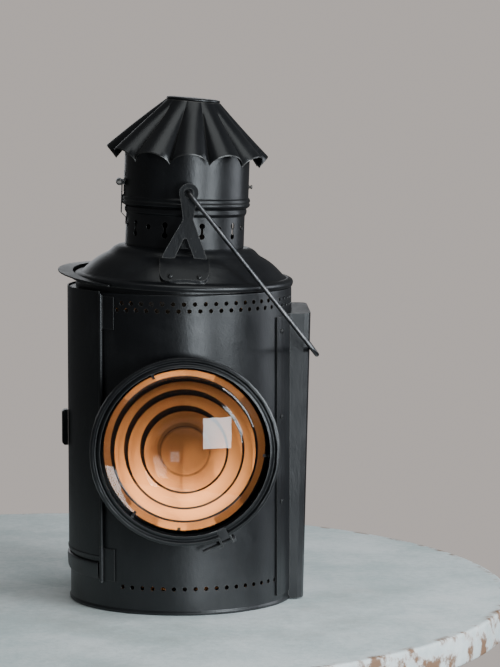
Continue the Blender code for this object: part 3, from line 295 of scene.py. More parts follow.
# %% [markdown]
# ## Table
#
# A round pale table top stands for the floor. It is turned from one profile with a softened edge. Clouds and
# faint stains keep it from looking like paper, and its rim is chipped down to rusty iron.

# %% Turning helpers


def around(bearing, radius, height=0.0):
    """A point at a bearing from the front and a radius from the axis."""
    return Vector((radius * math.sin(bearing), -radius * math.cos(bearing), height))


def facing(bearing):
    """A rotation whose Z axis points outwards at a bearing."""
    return Matrix.Rotation(bearing, 4, "Z") @ Matrix.Rotation(90 * DEG, 4, "X")


def mesh_object(name, bm, finish, place=None, smooth=40 * DEG):
    """Turn a bmesh into a piece with its faces out."""
    if place:
        bm.transform(place)
    bmesh.ops.recalc_face_normals(bm, faces=bm.faces)
    mesh = bpy.data.meshes.new(name)
    bm.to_mesh(mesh)
    bm.free()
    mesh.shade_smooth()
    mesh.set_sharp_from_angle(angle=smooth)
    if finish:
        mesh.materials.append(finish.material)
    obj = bpy.data.objects.new(name, mesh)
    bpy.context.scene.collection.objects.link(obj)
    return obj


def turned(outline, steps, start=0.0, sweep=TURN):
    """Spin a closed (radius, height) outline round Z."""
    bm = bmesh.new()
    ring = [bm.verts.new(around(start, radius, height)) for radius, height in outline]
    wire = [bm.edges.new((ring[i], ring[(i + 1) % len(ring)])) for i in range(len(ring))]
    full = sweep >= TURN
    result = bmesh.ops.spin(
        bm, geom=ring + wire, cent=(0, 0, 0), axis=(0, 0, 1), dvec=(0, 0, 0),
        angle=sweep, steps=steps, use_merge=full, use_duplicate=False,
    )
    if not full:
        last = {item for item in result["geom_last"] if isinstance(item, bmesh.types.BMEdge)}
        first = {edge for edge in bm.edges if edge.is_boundary} - last
        for cap in (first, last):
            bmesh.ops.contextual_create(bm, geom=list(cap))
    bmesh.ops.remove_doubles(bm, verts=bm.verts, dist=0.01 * MM)
    return bm


def rounded(points, radius=None, steps=4):
    """Replace each inner corner of an open (radius, height) line by a small curve."""
    line = [Vector(point) for point in points]
    smooth = [line[0]]
    for before, corner, after in zip(line, line[1:], line[2:]):
        reach = min((before - corner).length, (after - corner).length) * 0.45
        if radius:
            reach = min(reach, radius)
        start = corner + (before - corner).normalized() * reach
        end = corner + (after - corner).normalized() * reach
        for i in range(steps + 1):
            t = i / steps
            smooth.append(start * (1 - t) ** 2 + corner * 2 * t * (1 - t) + end * t * t)
    return [tuple(point) for point in smooth + [line[-1]]]


def sheet(points, wall):
    """Close an open (radius, height) line into an outline with a wall on its right-hand side."""
    inner = []
    for i, (radius, height) in enumerate(points):
        before = Vector(points[max(i - 1, 0)])
        after = Vector(points[min(i + 1, len(points) - 1)])
        along = (after - before).normalized()
        inner.append((radius + along.y * wall, height - along.x * wall))
    return points + inner[::-1]


def cut(target, cutters, operation="DIFFERENCE"):
    """Apply booleans now and drop the cutters."""
    for cutter in cutters:
        modifier = target.modifiers.new(cutter.name, "BOOLEAN")
        modifier.operation = operation
        modifier.solver = "EXACT"
        modifier.object = cutter
    graph = bpy.context.evaluated_depsgraph_get()
    mesh = bpy.data.meshes.new_from_object(target.evaluated_get(graph))
    target.modifiers.clear()
    target.data = mesh
    for cutter in cutters:
        bpy.data.objects.remove(cutter)


def shade_round(tube):
    """Give the upright walls of a punched tube the normals of a true cylinder."""
    mesh = tube.data
    normals = []
    for face in mesh.polygons:
        for index in face.loop_indices:
            spot = mesh.vertices[mesh.loops[index].vertex_index].co
            outward = Vector((spot.x, spot.y, 0.0)).normalized()
            lean = face.normal.dot(outward)
            upright = abs(lean) > 0.985
            normal = mesh.corner_normals[index].vector.copy()
            normals.append(outward * math.copysign(1.0, lean) if upright else normal)
    mesh.normals_split_custom_set(normals)


def prism(bm, matrix, radius, depth, sides):
    """Add a straight round rod to a bmesh."""
    bmesh.ops.create_cone(
        bm, cap_ends=True, segments=sides, radius1=radius, radius2=radius, depth=depth, matrix=matrix
    )


# %% Table top
TABLE_RADIUS = 0.352
TABLE_CENTRE = (-0.098, 0.035)
TABLE_THICKNESS = 0.024

stone = Finish("pale_table", roughness=0.62)
cloud = stone.noise(9.0, 6.0, 0.62)
fleck = stone.noise(160.0, 4.0, 0.6)
shade = (cloud * 0.75 + fleck * 0.25).ramp(0.36, 0.64)
stains = stone.noise(3.2, 5.0, 0.7).ramp(0.52, 0.66)
top = stone.mix(shade, (0.64, 0.74, 0.73), (0.95, 1.0, 0.99))
top = stone.mix(stains * 0.45, top, (0.52, 0.56, 0.52))
across, depth, up = stone.parts()
edge = (across * across + depth * depth) ** 0.5
chips = stone.noise(55.0, 5.0, 0.65)
worn_edge = edge.ramp(TABLE_RADIUS - 9 * MM, TABLE_RADIUS - 2 * MM) * chips.ramp(0.46, 0.54)
rusty = stone.mix(chips.ramp(0.5, 0.62), (0.86, 0.86, 0.83), (0.30, 0.17, 0.10))
stone.set(
    base_color=stone.mix(worn_edge, top, rusty),
    normal=stone.bump(fleck * 0.6 + chips * 0.8, 0.6 * MM),
)
edge = [(0.0, 0.0), (TABLE_RADIUS, 0.0), (TABLE_RADIUS, -TABLE_THICKNESS), (0.0, -TABLE_THICKNESS)]
table = mesh_object("table_top", turned(rounded(edge, 3 * MM), 160), stone)
table.location = (*TABLE_CENTRE, 0.0)
print("table top", round(2 * TABLE_RADIUS, 3), "m across")

# %% [markdown]
# ## Black enamel on sheet metal
#
# The paint is brushed stove black: nearly black, satin, uneven. Close up it has a fine orange peel, and the
# sheet under it waves slightly, which breaks up long reflections. On edges and beads it has rubbed down to
# dull steel, and dust sits in cloudy patches. Towards the foot the paint is made lighter, partly dust and
# partly a painted sheen for the light's reflection running low on the drum. One recipe makes all the painted
# pieces, with the amounts changed for each: the rubbed bezel is smoother, the sooty cowl is rougher.


# %% Enamel recipe
def enamel(name, wear=0.5, dust_and_sheen=0.5, gloss=0.4, dents=0.5, brush=0.7):
    """Worn black paint over sheet metal."""
    paint = Finish(name, ior=1.5)
    patches = paint.noise(28.0, 5.0, 0.6)
    peel = paint.noise(900.0, 2.0, 0.5)
    waves = paint.noise(22.0, 1.0, 0.4)
    specks = paint.noise(420.0, 3.0, 0.7)
    streaks = paint.noise(60.0, 4.0, 0.65, paint.stretched((1.0, 1.0, 0.12)))

    rubbed = (paint.edges(1.1 * MM) * 5.0 * wear * (patches * 1.6 + streaks * 0.6)).ramp(0.22, 0.75)
    scraped = (specks + patches * 0.45).ramp(1.02 - 0.1 * wear, 1.08 - 0.1 * wear)
    bare = rubbed.larger(scraped * 0.55)
    # Lighter towards the foot: partly settled dust, partly a painted sheen for the light's reflection low on
    # the drum.
    foot_dust_and_sheen = (1.0 - paint.parts()[2].ramp(0.0, 0.11)) * 0.35
    dust_and_foot_sheen = ((patches * 0.7 + streaks * 0.3).ramp(0.42, 0.72) + foot_dust_and_sheen) * dust_and_sheen

    colour = paint.mix(dust_and_foot_sheen, (0.0055, 0.0058, 0.0068), (0.022, 0.0225, 0.024))
    colour = paint.mix(bare * 0.7, colour, (0.15, 0.145, 0.138))
    metal = bare * 0.75
    rough = (0.62 - gloss * 0.55) + dust_and_foot_sheen * 0.16 + (specks - 0.5) * 0.10 + bare * 0.06
    brushed = paint.noise(230.0, 4.0, 0.7, paint.stretched((1.0, 1.0, 0.45)))
    skin = paint.bump(peel * 0.3 + brushed, 0.16 * MM, brush)
    paint.set(
        base_color=colour,
        metallic=metal.clamped(),
        roughness=rough.clamped(),
        normal=paint.bump(waves, 2.2 * MM * dents, 0.6, skin),
    )
    return paint


DRUM_RADIUS = 84.0 * MM
DRUM_WALL = 1.2 * MM
drum_paint = enamel("drum_enamel", wear=0.6, dust_and_sheen=0.5, gloss=0.56, dents=0.7)
door_paint = enamel("door_enamel", wear=0.6, dust_and_sheen=0.6, gloss=0.38)
dome_paint = enamel("dome_enamel", wear=0.65, dust_and_sheen=0.35, gloss=0.55)
cowl_paint = enamel("cowl_enamel", wear=0.7, dust_and_sheen=0.3, gloss=0.56, dents=0.8)
bezel_paint = enamel("bezel_enamel", wear=0.8, dust_and_sheen=0.5, gloss=0.60, dents=0.2, brush=0.35)
fitting_paint = enamel("fitting_enamel", wear=1.1, dust_and_sheen=0.1, gloss=0.56, dents=0.5)
fitting_paint.set(ior=1.33)
print("enamels ready")

# %% [markdown]
# ## Bare metals
#
# The bail and the pins were steel and have gone brown-black, with bright lines where they rub. The copper
# behind the candle is satin, warm and stained in clouds.


# %% Steel and copper recipes
def aged_steel(name, dark, light, rust, roughness):
    """Steel that has darkened, in clouds between two shades, with brown in its pits."""
    steel = Finish(name, metallic=0.9)
    clouds = steel.noise(70.0, 5.0, 0.65)
    grit = steel.noise(900.0, 3.0, 0.6)
    brown = (clouds * 0.6 + grit * 0.4).ramp(0.45, 0.62) * rust
    colour = steel.mix(clouds.ramp(0.35, 0.7), dark, light)
    steel.set(
        base_color=steel.mix(brown, colour, (0.075, 0.045, 0.028)),
        roughness=(roughness + brown * 0.3 + (grit - 0.5) * 0.15).clamped(),
        normal=steel.bump(grit, 0.08 * MM, 0.7),
    )
    return steel


wire_steel = aged_steel("bail_steel", (0.045, 0.046, 0.048), (0.17, 0.17, 0.175), 0.25, 0.30)
pin_steel = aged_steel("pin_steel", (0.10, 0.095, 0.09), (0.30, 0.29, 0.27), 0.5, 0.38)
tin = aged_steel("tinned_steel", (0.08, 0.078, 0.075), (0.17, 0.165, 0.16), 0.35, 0.42)
sooted = aged_steel("sooted_steel", (0.010, 0.010, 0.010), (0.030, 0.028, 0.026), 0.3, 0.65)

copper = Finish("copper_reflector", metallic=1.0)
stain = copper.noise(26.0, 5.0, 0.6)
grain = copper.noise(300.0, 3.0, 0.6, copper.stretched((1.0, 1.0, 0.05)))
height = copper.parts()[2]
# Darker near the top and the foot, where the vents look in: partly candle soot, partly painted shade so the
# copper seen through the vents stays dark.
soot_and_painted_shade = height.ramp(0.182, 0.205).larger(1.0 - height.ramp(0.022, 0.040))
shine = copper.mix(stain.ramp(0.35, 0.7), (0.74, 0.38, 0.165), (0.44, 0.20, 0.085))
copper.set(
    base_color=copper.mix(soot_and_painted_shade, shine, (0.010, 0.008, 0.007)),
    roughness=0.30 + stain * 0.18 + soot_and_painted_shade * 0.4,
    normal=copper.bump(grain, 0.05 * MM, 0.5),
)
print("metals ready")

# %% [markdown]
# ## Glass, wax and wick
#
# The lens is thick pressed glass. The shader paints a dark band round each step of its back, a painted
# shade for the step's riser, wider at the upper left, where more of the riser shows. A dark ring at the
# glass's edge is painted shade from the recess under the bezel, and the middle of the glass is painted
# darker. Wax is soft and lets a little light in, which a low roughness and a touch of subsurface give.

# %% Glass, wax and wick
LENS_HEIGHT = 124.0 * MM
LENS_RADIUS = 61.7 * MM
LENS_BACK = 87.5 * MM
STEP_RADII = (17.4 * MM, 29.9 * MM, 41.6 * MM, 51.6 * MM)

glass = Finish("lens_glass", transmission_weight=1.0, ior=1.51)
across, depth, up = glass.parts()
rise = up - LENS_HEIGHT
reach = (across * across + rise * rise) ** 0.5
above = (rise - across * 0.5) / (reach + MM)
width = 1.1 * MM + (above * 0.8).clamped() * 2.0 * MM
behind = (depth + LENS_BACK + 3.9 * MM).ramp(0.0, 0.3 * MM)
# Painted shade: a dark ring at the glass's edge, and dark bands round the steps on the back, wider at the
# upper left.
dark = reach.ramp(58.4 * MM, 59.4 * MM)
for radius in STEP_RADII:
    band = (reach - (radius + 0.6 * MM)).size() / width
    strength = 0.6 if radius < 20 * MM else 1.0
    dark = dark.larger((1.0 - band.ramp(0.6, 1.0)) * behind * strength)
smear = glass.noise(34.0, 4.0, 0.6)
# Painted shade: the middle of the glass is coloured darker than its rim.
middle = 1.0 - reach.ramp(12 * MM, 38 * MM)
clear = glass.mix(middle, (0.80, 0.78, 0.76), (0.20, 0.19, 0.19))
glass.set(
    base_color=glass.mix(dark, clear, (0.0006, 0.0004, 0.0004)),
    roughness=smear.ramp(0.5, 0.8) * 0.05 + 0.012,
)

wax = Finish("candle_wax", subsurface_weight=0.4, subsurface_scale=0.004)
milk = wax.noise(60.0, 3.0, 0.5)
wax.set(
    base_color=wax.mix(milk.ramp(0.35, 0.7), (0.86, 0.80, 0.66), (0.93, 0.89, 0.78)),
    roughness=0.34 + milk * 0.2,
    normal=wax.bump(milk, 0.3 * MM, 0.6),
)
char = Finish("charred_wick")
soot = char.noise(1500.0, 3.0, 0.6)
char.set(base_color=char.mix(soot, (0.015, 0.013, 0.012), (0.11, 0.10, 0.09)), roughness=0.7 + soot * 0.3)
print("glass, wax and wick ready")

# %% [markdown]
# ## The drum
#
# The drum is one sheet bent round and wired at the foot: the bottom edge is rolled over a wire, which makes
# the round rim it stands on. It is turned from its wall's profile, and the vent holes are punched with
# small round cutters in two staggered rows at the top and one at the foot. A boolean is used because the
# holes must really be open: light shows through them.

# %% Drum sizes
drum_low, drum_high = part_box("body_shell")
DRUM_HEIGHT = 237.0 * MM
NECK_RADIUS = 79.0 * MM
FOOT_RADIUS = drum_high.x
VENT_PITCH = TURN / 66
VENT_TOP = DRUM_HEIGHT - 6.9 * MM
VENT_ROW = 5.1 * MM
VENT_RADIUS = 1.7 * MM
VENT_FIRST = -38.2 * DEG
TOP_VENTS = 48
FOOT_VENT_HEIGHT = 19.7 * MM
FOOT_VENT_FIRST = -32.7 * DEG
FOOT_VENTS = 17
PUNCH_DEPTH = 6 * MM
LENS_OPENING = (54.0 * MM, 60.2 * MM)
DOORWAY_FOOT = 44.5 * MM
DOORWAY_HEAD = 231.5 * MM
DOORWAY_START = -128 * DEG
DOORWAY_SWEEP = 77 * DEG


def drum_outline():
    """The wall from the rolled foot up over the shoulder to the neck."""
    inner = DRUM_RADIUS - DRUM_WALL
    roll = 1.5 * MM
    foot = [(FOOT_RADIUS - roll + roll * math.cos(a), roll + roll * math.sin(a))
            for a in (-90 * DEG, -55 * DEG, -20 * DEG, 15 * DEG, 50 * DEG)]
    shoulder = [(DRUM_RADIUS - 1.2 * MM * (1 - math.cos(a)), DRUM_HEIGHT - 1.2 * MM * (1 - math.sin(a)))
                for a in (0.0, 30 * DEG, 60 * DEG, 90 * DEG)]
    neck = [(NECK_RADIUS, DRUM_HEIGHT), (NECK_RADIUS, drum_high.z), (NECK_RADIUS - 1 * MM, drum_high.z),
            (NECK_RADIUS - 1 * MM, DRUM_HEIGHT - DRUM_WALL), (inner, DRUM_HEIGHT - DRUM_WALL)]
    return [(inner, 0.0)] + foot + [(DRUM_RADIUS, 3.4 * MM)] + shoulder + neck


# %% Drum and its holes
def punches():
    """All the vent holes as small round cutters."""
    bm = bmesh.new()
    for i in range(TOP_VENTS):
        for height, shift in ((VENT_TOP, 0.0), (VENT_TOP - VENT_ROW, 0.5)):
            bearing = VENT_FIRST + (i + shift) * VENT_PITCH
            spot = around(bearing, DRUM_RADIUS, height)
            prism(bm, Matrix.Translation(spot) @ facing(bearing), VENT_RADIUS, PUNCH_DEPTH, 12)
    for i in range(FOOT_VENTS):
        bearing = FOOT_VENT_FIRST + i * VENT_PITCH
        spot = around(bearing, DRUM_RADIUS, FOOT_VENT_HEIGHT)
        prism(bm, Matrix.Translation(spot) @ facing(bearing), VENT_RADIUS, PUNCH_DEPTH, 12)
    return mesh_object("punches", bm, None)


def oval_cutter():
    """The oval opening behind the lens."""
    bm = bmesh.new()
    prism(bm, Matrix.Rotation(90 * DEG, 4, "X"), 1.0, 0.08, 72)
    size = Matrix.Diagonal((LENS_OPENING[0], 1.0, LENS_OPENING[1], 1.0))
    return mesh_object("oval_cutter", bm, None, Matrix.Translation((0.0, -0.075, LENS_HEIGHT)) @ size)


def doorway_cutter():
    """The opening behind the door."""
    outline = [(0.078, DOORWAY_FOOT), (0.088, DOORWAY_FOOT), (0.088, DOORWAY_HEAD), (0.078, DOORWAY_HEAD)]
    return mesh_object("doorway_cutter", turned(outline, 26, DOORWAY_START, DOORWAY_SWEEP), None)


drum = mesh_object("drum_shell", turned(drum_outline(), 132), drum_paint)
cut(drum, [punches(), oval_cutter(), doorway_cutter()])
shade_round(drum)
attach(drum, "drum")
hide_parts("body_shell")
print("drum", len(drum.data.polygons), "faces")

# %% [markdown]
# ## The dome, set on a little crooked
#
# The dome was dropped on to the neck and never sat level: it leans two degrees to the right, and its rim has
# been pulled down at the front. Everything above it shares the lean, so those pieces are made upright and
# then moved by one matrix. Only the rim is bent, so that bend is done to the points of the dome alone.

# %% Dome
LEAN = 2.0 * DEG
top_place = Matrix.Translation((2.1 * MM, -1.5 * MM, 240.0 * MM)) @ Matrix.Rotation(LEAN, 4, "Y")
DOME_RADIUS = 83.2 * MM
TUBE_RADIUS = 43.9 * MM
throat = TUBE_RADIUS + 1.3 * MM
dome_line = [
    (throat - 1.0 * MM, 27.9 * MM), (throat + 4.5 * MM, 27.3 * MM), (throat + 8.6 * MM, 25.0 * MM),
    (throat + 11.3 * MM, 21.8 * MM), (DOME_RADIUS - 18.5 * MM, 17.4 * MM),
    (DOME_RADIUS - 12.6 * MM, 12.6 * MM), (DOME_RADIUS - 6.2 * MM, 6.0 * MM),
    (DOME_RADIUS - 3.4 * MM, 6.1 * MM), (DOME_RADIUS - 0.8 * MM, 5.0 * MM), (DOME_RADIUS, 3.2 * MM),
    (DOME_RADIUS - 0.7 * MM, 0.8 * MM),
]
DIP = 1.9 * MM
DIP_START = DOME_RADIUS - 26.2 * MM
DOME_WALL = 0.9 * MM


def dipped(bm):
    """Bend the dome's rim down at the front and up at the back."""
    for vert in bm.verts:
        radius = math.hypot(vert.co.x, vert.co.y)
        share = max(0.0, (radius - DIP_START) / (DOME_RADIUS - DIP_START))
        vert.co.z += DIP * share * vert.co.y / max(radius, MM)
    return bm


dome_sheet = dipped(turned(sheet(rounded(dome_line, steps=2), DOME_WALL), 120))
dome = mesh_object("dome_sheet", dome_sheet, dome_paint, top_place)
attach(dome, "drum")
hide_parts("dome_top")
print("dome", len(dome.data.polygons), "faces")

# %% [markdown]
# ## The chimney
#
# The fixed lower tube has slots shaped like a dumbbell, with a round hole between each pair. The upper tube
# tips back with the cowl. Both have a bead pressed in where they meet. The slots are real holes, cut through
# before the tube is leaned over, so that each punch points straight out from the axis.

# %% Lower tube
TUBE_TOP = 57.3 * MM
BEAD = 1.3 * MM
TUBE_WALL = 0.9 * MM
SLOT_MIDDLE = 41.0 * MM
SLOT_END = 3.9 * MM
SLOT_FIRST = 14.5 * DEG
SLOTS = 10
SLOT_RADIUS = 2.25 * MM
SLOT_NECK = 2.0 * MM
SLOT_DEPTH = 7 * MM
HOLE_RADIUS = 2.1 * MM
HOLE_RISE = 1.9 * MM


def slot_punches():
    """The dumbbell slots and the round holes between them, as cutters."""
    bm = bmesh.new()
    for i in range(SLOTS):
        bearing = SLOT_FIRST + i * TURN / SLOTS
        for rise in (-SLOT_END, SLOT_END):
            spot = around(bearing, TUBE_RADIUS, SLOT_MIDDLE + rise)
            prism(bm, Matrix.Translation(spot) @ facing(bearing), SLOT_RADIUS, SLOT_DEPTH, 18)
        between = bearing + TURN / (2 * SLOTS)
        spot = around(between, TUBE_RADIUS, SLOT_MIDDLE + HOLE_RISE)
        prism(bm, Matrix.Translation(spot) @ facing(between), HOLE_RADIUS, SLOT_DEPTH, 18)
    rounds = mesh_object("round_punches", bm, None)
    bm = bmesh.new()
    for i in range(SLOTS):
        bearing = SLOT_FIRST + i * TURN / SLOTS
        spot = around(bearing, TUBE_RADIUS, SLOT_MIDDLE)
        place = Matrix.Translation(spot) @ facing(bearing)
        bar = Matrix.Diagonal((SLOT_NECK, 2 * SLOT_END, SLOT_DEPTH, 1.0))
        bmesh.ops.create_cube(bm, size=1.0, matrix=place @ bar)
    return [rounds, mesh_object("neck_punches", bm, None)]


tube_line = [
    (TUBE_RADIUS, 22 * MM), (TUBE_RADIUS, TUBE_TOP - 5.6 * MM), (TUBE_RADIUS + BEAD, TUBE_TOP - 3.9 * MM),
    (TUBE_RADIUS + BEAD, TUBE_TOP - 1.4 * MM), (TUBE_RADIUS, TUBE_TOP - 0.1 * MM),
    (TUBE_RADIUS - 0.4 * MM, TUBE_TOP),
]
tube_line = rounded(tube_line, steps=3)
lower = mesh_object("lower_tube", turned(sheet(tube_line[::-1], -TUBE_WALL), 100), dome_paint)
cut(lower, slot_punches())
shade_round(lower)
lower.data.transform(top_place)
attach(lower, "drum")
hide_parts("lower_chimney")
print("lower tube", len(lower.data.polygons), "faces")

# %% Upper tube
UPPER_RADIUS = 46.2 * MM
UPPER_FOOT = TUBE_TOP + 0.5 * MM
UPPER_TOP = 97.8 * MM
SEAM_START = -17 * DEG
SEAM_SWEEP = 5 * DEG
upper_line = [
    (UPPER_RADIUS - 0.6 * MM, UPPER_FOOT), (UPPER_RADIUS + BEAD, UPPER_FOOT + 1.2 * MM),
    (UPPER_RADIUS + BEAD, UPPER_FOOT + 2.6 * MM), (UPPER_RADIUS + 0.3 * MM, UPPER_FOOT + 3.4 * MM),
    (UPPER_RADIUS + BEAD, UPPER_FOOT + 4.3 * MM), (UPPER_RADIUS + BEAD, UPPER_FOOT + 5.6 * MM),
    (UPPER_RADIUS, UPPER_FOOT + 6.9 * MM), (UPPER_RADIUS, UPPER_TOP),
]
upper_line = rounded(upper_line, steps=3)
upper_sheet = turned(sheet(upper_line[::-1], -TUBE_WALL), 100)
seam_low, seam_high = UPPER_FOOT + 7.4 * MM, UPPER_TOP - 0.6 * MM
seam_in, seam_out = UPPER_RADIUS - 0.3 * MM, UPPER_RADIUS + 0.6 * MM
seam_line = [(seam_in, seam_low), (seam_out, seam_low), (seam_out, seam_high), (seam_in, seam_high)]
upper = mesh_object("upper_tube", upper_sheet, cowl_paint)
seam = mesh_object("upper_seam", turned(seam_line, 4, SEAM_START, SEAM_SWEEP), None)
cut(upper, [seam], "UNION")
shade_round(upper)
upper.data.transform(top_place)
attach(upper, "cowl")
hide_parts("upper_chimney")
print("upper tube", len(upper.data.polygons), "faces")

# %% [markdown]
# ## The fluted cowl
#
# The cowl is a cone of tin crimped into twelve flutes. The crimps are sharp valleys between rounded lobes,
# which the absolute value of a cosine draws exactly. They fade out towards the flat cap on top, and the
# brim waves up and down with them.

# %% Cowl
FLUTES = 12
CAP_RADIUS = 20.5 * MM
CAP_HEIGHT = 136.3 * MM
PEAK = (60.8 * MM, 99.1 * MM)
VALLEY = (55.5 * MM, 91.0 * MM)
COWL_WALL = 0.9 * MM
APEX_SHIFT = 3.0 * MM
COWL_TILT = 3.2 * DEG
COWL_SAG = 2.4 * MM


def cowl_point(bearing, share, drop):
    """A point on the crimped cone: share runs from the cap to the brim."""
    lobe = abs(math.cos(FLUTES * bearing / 2)) ** 0.6
    outer = VALLEY[0] + (PEAK[0] - VALLEY[0]) * lobe
    lower_edge = VALLEY[1] + (PEAK[1] - VALLEY[1]) * lobe
    radius = CAP_RADIUS + (outer - CAP_RADIUS) * share
    side = math.sin(bearing)
    sag = COWL_SAG * share * side ** 3 + math.tan(COWL_TILT) * (1.0 - share) * radius * side
    height = CAP_HEIGHT + (lower_edge - CAP_HEIGHT) * share - sag - drop
    return around(bearing, radius, height) + Vector((APEX_SHIFT * (1.0 - share), 0.0, 0.0))


# %% Cowl sheet
bm = bmesh.new()
columns, rows = FLUTES * 16, 10
grids = [
    [
        [bm.verts.new(cowl_point(TURN * i / columns, j / rows, drop)) for i in range(columns)]
        for j in range(rows + 1)
    ]
    for drop in (0.0, COWL_WALL)
]
for i in range(columns):
    k = (i + 1) % columns
    for grid in grids:
        for j in range(rows):
            bm.faces.new((grid[j][i], grid[j + 1][i], grid[j + 1][k], grid[j][k]))
    for j in (0, rows):
        bm.faces.new((grids[0][j][i], grids[0][j][k], grids[1][j][k], grids[1][j][i]))
cowl = mesh_object("fluted_sheet", bm, cowl_paint, top_place)
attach(cowl, "cowl")
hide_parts("fluted_cowl")
print("cowl", len(cowl.data.polygons), "faces")

# %% Cowl cap
cap_line = [
    (0.0, 2.8 * MM), (CAP_RADIUS - 3.0 * MM, 2.4 * MM), (CAP_RADIUS - 0.2 * MM, 1.8 * MM),
    (CAP_RADIUS - 0.2 * MM, 0.2 * MM), (0.0, 0.2 * MM),
]
apex = Matrix.Translation((APEX_SHIFT, 0.0, CAP_HEIGHT))
cap_place = top_place @ apex @ Matrix.Rotation(COWL_TILT, 4, "Y")
cap = mesh_object("cowl_cap", turned(rounded(cap_line, 0.9 * MM), 72), cowl_paint, cap_place)
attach(cap, "cowl")
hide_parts("cowl_top_disc")
print("cap", len(cap.data.polygons), "faces")

# %% [markdown]
# ## The stepped lens and its bezel
#
# A thick lens of this strength would be heavy, so its back is cut into steps, each a slice of the same
# curve. The front is one smooth bulge. Both come from a single profile turned about the axis that looks
# forwards.

# %% Lens
lens_place = Matrix.Translation((0.0, 0.0, LENS_HEIGHT)) @ Matrix.Rotation(90 * DEG, 4, "X")
LENS_EDGE = LENS_BACK + 3.5 * MM
LENS_BULGE = 10.5 * MM
STEPS = STEP_RADII + (60.5 * MM,)
STEP_DEPTH = 3.3 * MM


def lens_line():
    """The bulged front, the edge and the stepped back, as one closed outline."""
    fine = 28
    line = [
        (LENS_RADIUS * i / fine, LENS_EDGE + LENS_BULGE * (1 - (i / fine) ** 2)) for i in range(fine)
    ]
    line += [(LENS_RADIUS - 0.25 * MM, LENS_EDGE + 0.1 * MM), (LENS_RADIUS, LENS_EDGE - 0.3 * MM)]
    line += [(LENS_RADIUS, LENS_BACK + 0.3 * MM), (LENS_RADIUS - 0.3 * MM, LENS_BACK)]
    outer = STEPS[-1]
    line += [(outer + 0.2 * MM, LENS_BACK), (outer, LENS_BACK + STEP_DEPTH * 0.35)]
    for inner in reversed(STEPS[:-1]):
        depth = STEP_DEPTH if inner > STEPS[0] else STEP_DEPTH * 0.5
        for i in range(1, 6):
            share = i / 6
            radius = outer + (inner - outer) * share
            start = STEP_DEPTH * (0.35 if outer == STEPS[-1] else 1.0)
            line.append((radius, LENS_BACK + start * (1 - share) * (1 - 0.25 * share)))
        line += [(inner + 0.25 * MM, LENS_BACK), (inner, LENS_BACK + depth)]
        outer = inner
    for i in range(1, 7):
        share = i / 6
        line.append((outer * (1 - share), LENS_BACK + STEP_DEPTH * 0.5 * (1 - share) ** 2))
    return line


lens = mesh_object("stepped_lens", turned(lens_line(), 128), glass, lens_place, 25 * DEG)
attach(lens, "drum")
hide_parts("fresnel_lens")
print("lens", len(lens.data.polygons), "faces")

# %% [markdown]
# ## Softening what the frame already shapes well
#
# The brackets, hinges, door and straps have the right shape, but cut sheet is never knife sharp. A
# copy of each mesh gets a small bevel, so its edges catch the light, and takes the original's place.


# %% Softened copies
def softened(node, body, finish, width=0.25 * MM, name=None):
    """A copy of a frame piece with its edges rounded."""
    mesh = nodes[node].data.copy()
    mesh.materials.clear()
    mesh.materials.append(finish.material)
    bm = bmesh.new()
    bm.from_mesh(mesh)
    bmesh.ops.remove_doubles(bm, verts=bm.verts, dist=0.002 * MM)
    bmesh.ops.dissolve_limit(bm, angle_limit=0.5 * DEG, verts=bm.verts, edges=bm.edges)
    for face in bm.faces:
        face.material_index = 0
    bm.to_mesh(mesh)
    bm.free()
    obj = bpy.data.objects.new(name or node + "_soft", mesh)
    bpy.context.scene.collection.objects.link(obj)
    bevel = obj.modifiers.new("edges", "BEVEL")
    bevel.width = width
    bevel.segments = 2
    bevel.limit_method = "ANGLE"
    bevel.angle_limit = 38 * DEG
    graph = bpy.context.evaluated_depsgraph_get()
    obj.data = bpy.data.meshes.new_from_object(obj.evaluated_get(graph))
    obj.modifiers.clear()
    obj.data.shade_smooth()
    obj.data.set_sharp_from_angle(angle=50 * DEG)
    flatter = obj.modifiers.new("flat faces", "WEIGHTED_NORMAL")
    flatter.weight = 100
    flatter.keep_sharp = True
    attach(obj, body)
    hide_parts(node)
    return obj


painted = {
    "drum": {
        "door_eave": dome_paint, "front_bail_bracket": fitting_paint, "rear_bail_bracket": fitting_paint,
        "lens_barrel": bezel_paint,
        "upper_hinge_leaf": drum_paint, "lower_hinge_leaf": drum_paint, "door_sill": drum_paint,
        "cowl_hinge_strap": fitting_paint,
    },
    "cowl": {"cowl_hinge_leaf": fitting_paint},
    "door": {"door_panel": door_paint, "door_pull": fitting_paint},
}
for body, pieces in painted.items():
    for node, finish in pieces.items():
        softened(node, body, finish)
print(sum(len(pieces) for pieces in painted.values()), "pieces softened")

# %% [markdown]
# ## The bezel's rolled rim
#
# The band that clamps the lens is rolled over at its front, which leaves a fine groove inside the bead. The
# groove is turned as a thin ring and taken out of the softened copy.

# %% Bezel with a rolled rim
BEZEL_FRONT = 103.0 * MM
groove = [
    (64.0 * MM, BEZEL_FRONT - 2.7 * MM), (66.4 * MM, BEZEL_FRONT - 2.7 * MM),
    (67.0 * MM, BEZEL_FRONT + 1.0 * MM), (63.7 * MM, BEZEL_FRONT + 1.0 * MM),
]
bezel = softened("lens_clamp_band", "drum", bezel_paint, 0.7 * MM)
cut(bezel, [mesh_object("groove", turned(groove, 120), None, lens_place)])
bezel.data.shade_smooth()
bezel.data.set_sharp_from_angle(angle=50 * DEG)
print("bezel", len(bezel.data.polygons), "faces")

# %% [markdown]
# ## The bail
#
# The bail is one length of wire, bent by hand round a former. A curve with a round section follows the same
# path as the model's wire.

# %% Bail wire
WIRE = 1.75 * MM
EYE_HEIGHT = 70.1 * MM
LEG_PLANE = 69.0 * MM
LEG = 152.0 * MM
TAIL = 15.0 * MM

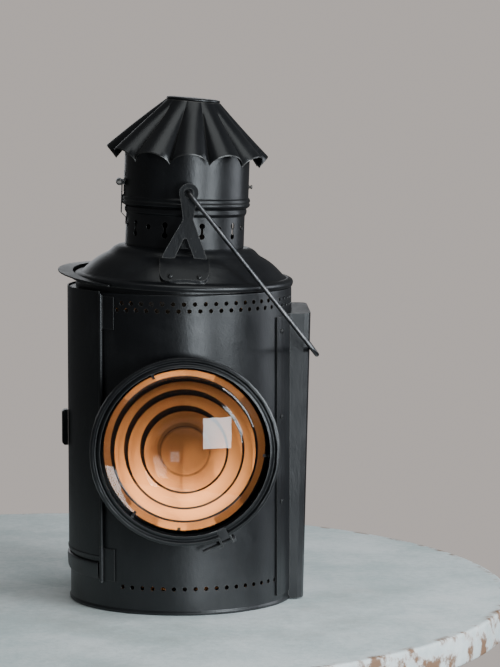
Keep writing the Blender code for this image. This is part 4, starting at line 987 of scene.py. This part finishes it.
pivot = top_place @ Vector((0.0, 0.0, EYE_HEIGHT))
bail_low, bail_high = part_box("bail_wire")
drop = math.hypot(bail_high.x - WIRE - pivot.x, pivot.z - WIRE - bail_low.z)
down = Vector((bail_high.x - WIRE - pivot.x, 0.0, bail_low.z + WIRE - pivot.z)) / drop
print("bail leg", round(drop / MM, 1), "mm to the crossbar")


def bend(corner, towards, away, radius):
    """Points round a bend that leaves along one direction and ends along another."""
    centre = corner + towards * radius + away * radius
    return [
        centre - away * radius * math.cos(i * 9 * DEG) - towards * radius * math.sin(i * 9 * DEG)
        for i in range(11)
    ]


back = Vector((0.0, 1.0, 0.0))
half = [pivot - back * (LEG_PLANE - TAIL)]
half += bend(pivot - back * LEG_PLANE, back, down, 4.5 * MM)
half += bend(pivot - back * LEG_PLANE + down * LEG, -down, back, 8.0 * MM)
path = half + [Vector((p.x, 2 * pivot.y - p.y, p.z)) for p in reversed(half)]
curve = bpy.data.curves.new("wire_bail", "CURVE")
curve.dimensions = "3D"
curve.bevel_depth = WIRE
curve.bevel_resolution = 5
curve.use_fill_caps = True
spline = curve.splines.new("POLY")
spline.points.add(len(path) - 1)
for target, point in zip(spline.points, path):
    target.co = (*point, 1.0)
curve.materials.append(wire_steel.material)
bail = bpy.data.objects.new("wire_bail", curve)
bpy.context.scene.collection.objects.link(bail)
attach(bail, "bail")
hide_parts("bail_wire")

# %% [markdown]
# ## Pieces that keep their shape
#
# Screws, pins, rivets and what stands inside the drum are already right, so they only need a finish. A frame
# piece takes one through its material slots, and its mesh is left alone.

# %% Finishes for the small pieces
metal = {
    pin_steel: ["cowl_stud", "cowl_hinge_pin"],
    wire_steel: [
        "clamp_screw", "clamp_nut", "door_hinge_pin", "lens_clip_1", "lens_clip_2", "lens_clip_3",
    ],
    drum_paint: ["lamp_iron_socket"],
    fitting_paint: [f"bracket_rivet_{i}" for i in range(1, 5)] + [f"socket_rivet_{i}" for i in range(1, 7)],
    tin: ["candle_tray", "candle_cup"],
    sooted: ["base_plate", "heat_baffle", "flue_collar"],
    copper: ["copper_reflector"],
    wax: ["candle"],
    char: ["wick"],
}
for finish, names in metal.items():
    for name in names:
        for slot in nodes[name].material_slots:
            slot.material = finish.material
print(sum(len(names) for names in metal.values()), "pieces refinished")
